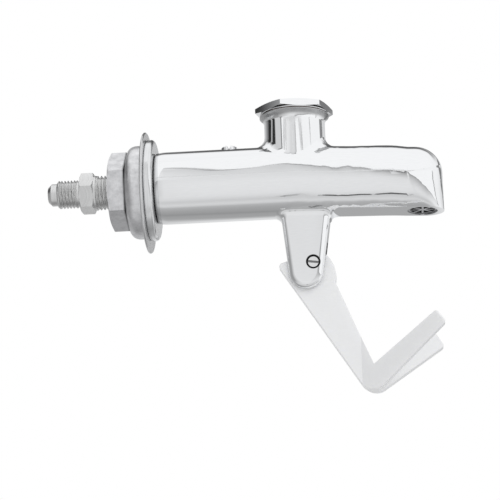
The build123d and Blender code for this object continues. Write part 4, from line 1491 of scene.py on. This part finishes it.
    def walls(self, sketch: NodeSketch, views: Views) -> Value:
        """Brightness of the bare tent: the compass counts at the sides, the hoop elsewhere.

        Args:
            sketch: the cloth's tree.
            views: where each place of the tent is.

        Returns:
            The brightness.
        """
        sideways = sketch.fade(sketch.math("ABSOLUTE", views[View.SIDEWAYS]),
                               self.side_start, self.side_whole)
        level = sketch.fade(sketch.math("ABSOLUTE", views[View.UPWARDS]),
                            self.pole_whole, self.pole_start)
        side = sketch.mix(sketch.fade(views[View.HEIGHT], self.low_top, self.high_foot),
                          sketch.ramp(views[View.COMPASS], self.low_compass),
                          sketch.ramp(views[View.COMPASS], self.compass))
        return sketch.mix(sketch.times(sideways, level), sketch.ramp(views[View.HOOP], self.hoop),
                          side)


@dataclass(frozen=True)
class Floor:
    """Pale floor well below the object. It takes the object's shadow and hides from below."""

    height: float = -0.45
    half_size: float = 3.0
    brightness: float = 0.92

    def build(self) -> None:
        """Make the floor."""
        reach = self.half_size
        corners = [(x, y, self.height) for x, y in (
            (-reach, -reach), (reach, -reach), (reach, reach), (-reach, reach))]
        mesh = bpy.data.meshes.new("floor")
        mesh.from_pydata(corners, [], [(0, 1, 2, 3)])
        floor = add_object("floor", mesh)
        material = bpy.data.materials.new("pale_floor")
        sketch = blank_tree(material)
        pale = sketch.node("ShaderNodeBsdfDiffuse", {"Color": (self.brightness,) * 3 + (1.0,)})
        clear = sketch.node("ShaderNodeBsdfTransparent")
        from_below = sketch.node("ShaderNodeNewGeometry").outputs["Backfacing"]
        sketch.node("ShaderNodeOutputMaterial", {
            "Surface": sketch.mix_shaders(from_below, pale, clear)})
        mesh.materials.append(material)
        floor.visible_glossy = False


@dataclass(frozen=True)
class SoftLamp:
    """Wide soft lamp that models the matt surfaces."""

    place: Place = (0.5, -0.9, 0.8)
    aim: Place = (0.04, 0.0, 0.0)
    power: float = 5.0
    size: float = 0.8

    def build(self) -> None:
        """Make the lamp, unseen in reflections."""
        light = bpy.data.lights.new("soft_lamp", "AREA")
        light.energy = self.power
        light.size = self.size
        light.specular_factor = 0.0
        lamp = add_object("soft_lamp", light)
        lamp.location = self.place
        back = Vector(self.place) - Vector(self.aim)
        lamp.rotation_euler = back.to_track_quat("Z", "Y").to_euler()
        lamp.visible_glossy = False


@dataclass(frozen=True)
class PhotoCamera:
    """Camera at the photograph's viewing angle, a little below the object and looking up.

    Attributes:
        azimuth: angle from straight in front, towards the spout.
        elevation: angle above the horizon.
        roll: how far the picture is turned anticlockwise.
        aim: point at the middle of the picture.
        distance: from the camera to that point.
        lens: focal length for a 36 mm wide sensor.
        nearest: how near a thing may be and still be seen.
    """

    azimuth: float = 4.18
    elevation: float = -13.9
    roll: float = 1.73
    aim: Place = (0.03909, 0.0, -0.02653)
    distance: float = 0.78585
    lens: float = 145.08
    nearest: float = 0.01

    def build(self) -> None:
        """Make the camera and use it."""
        turn, lift = math.radians(self.azimuth), math.radians(self.elevation)
        back = Vector((math.sin(turn) * math.cos(lift), -math.cos(turn) * math.cos(lift),
                       math.sin(lift)))
        data = bpy.data.cameras.new("photo_camera")
        data.lens = self.lens
        data.clip_start = self.nearest
        camera = add_object("photo_camera", data)
        upright = back.to_track_quat("Z", "Y").to_matrix().to_4x4()
        rolled = upright @ Matrix.Rotation(-math.radians(self.roll), 4, "Z")
        place = Vector(self.aim) + back * self.distance
        camera.matrix_world = Matrix.Translation(place) @ rolled
        bpy.context.scene.camera = camera


def main() -> None:
    """Dress the solids, build the pieces that stand for some of them, and set the stage."""
    logging.basicConfig(level=logging.INFO, format="%(message)s")
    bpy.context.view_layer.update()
    wardrobe = Wardrobe()
    wardrobe.dress_nodes()
    CastBody().build(wardrobe)
    ReturnSpring().build(wardrobe)
    Adapter().piece().build(wardrobe)
    Shank().piece().build(wardrobe)
    Daylight().build()
    Tent().build()
    Floor().build()
    SoftLamp().build()
    PhotoCamera().build()
    bpy.context.scene.view_settings.view_transform = "Standard"


if __name__ == "__main__":
    main()
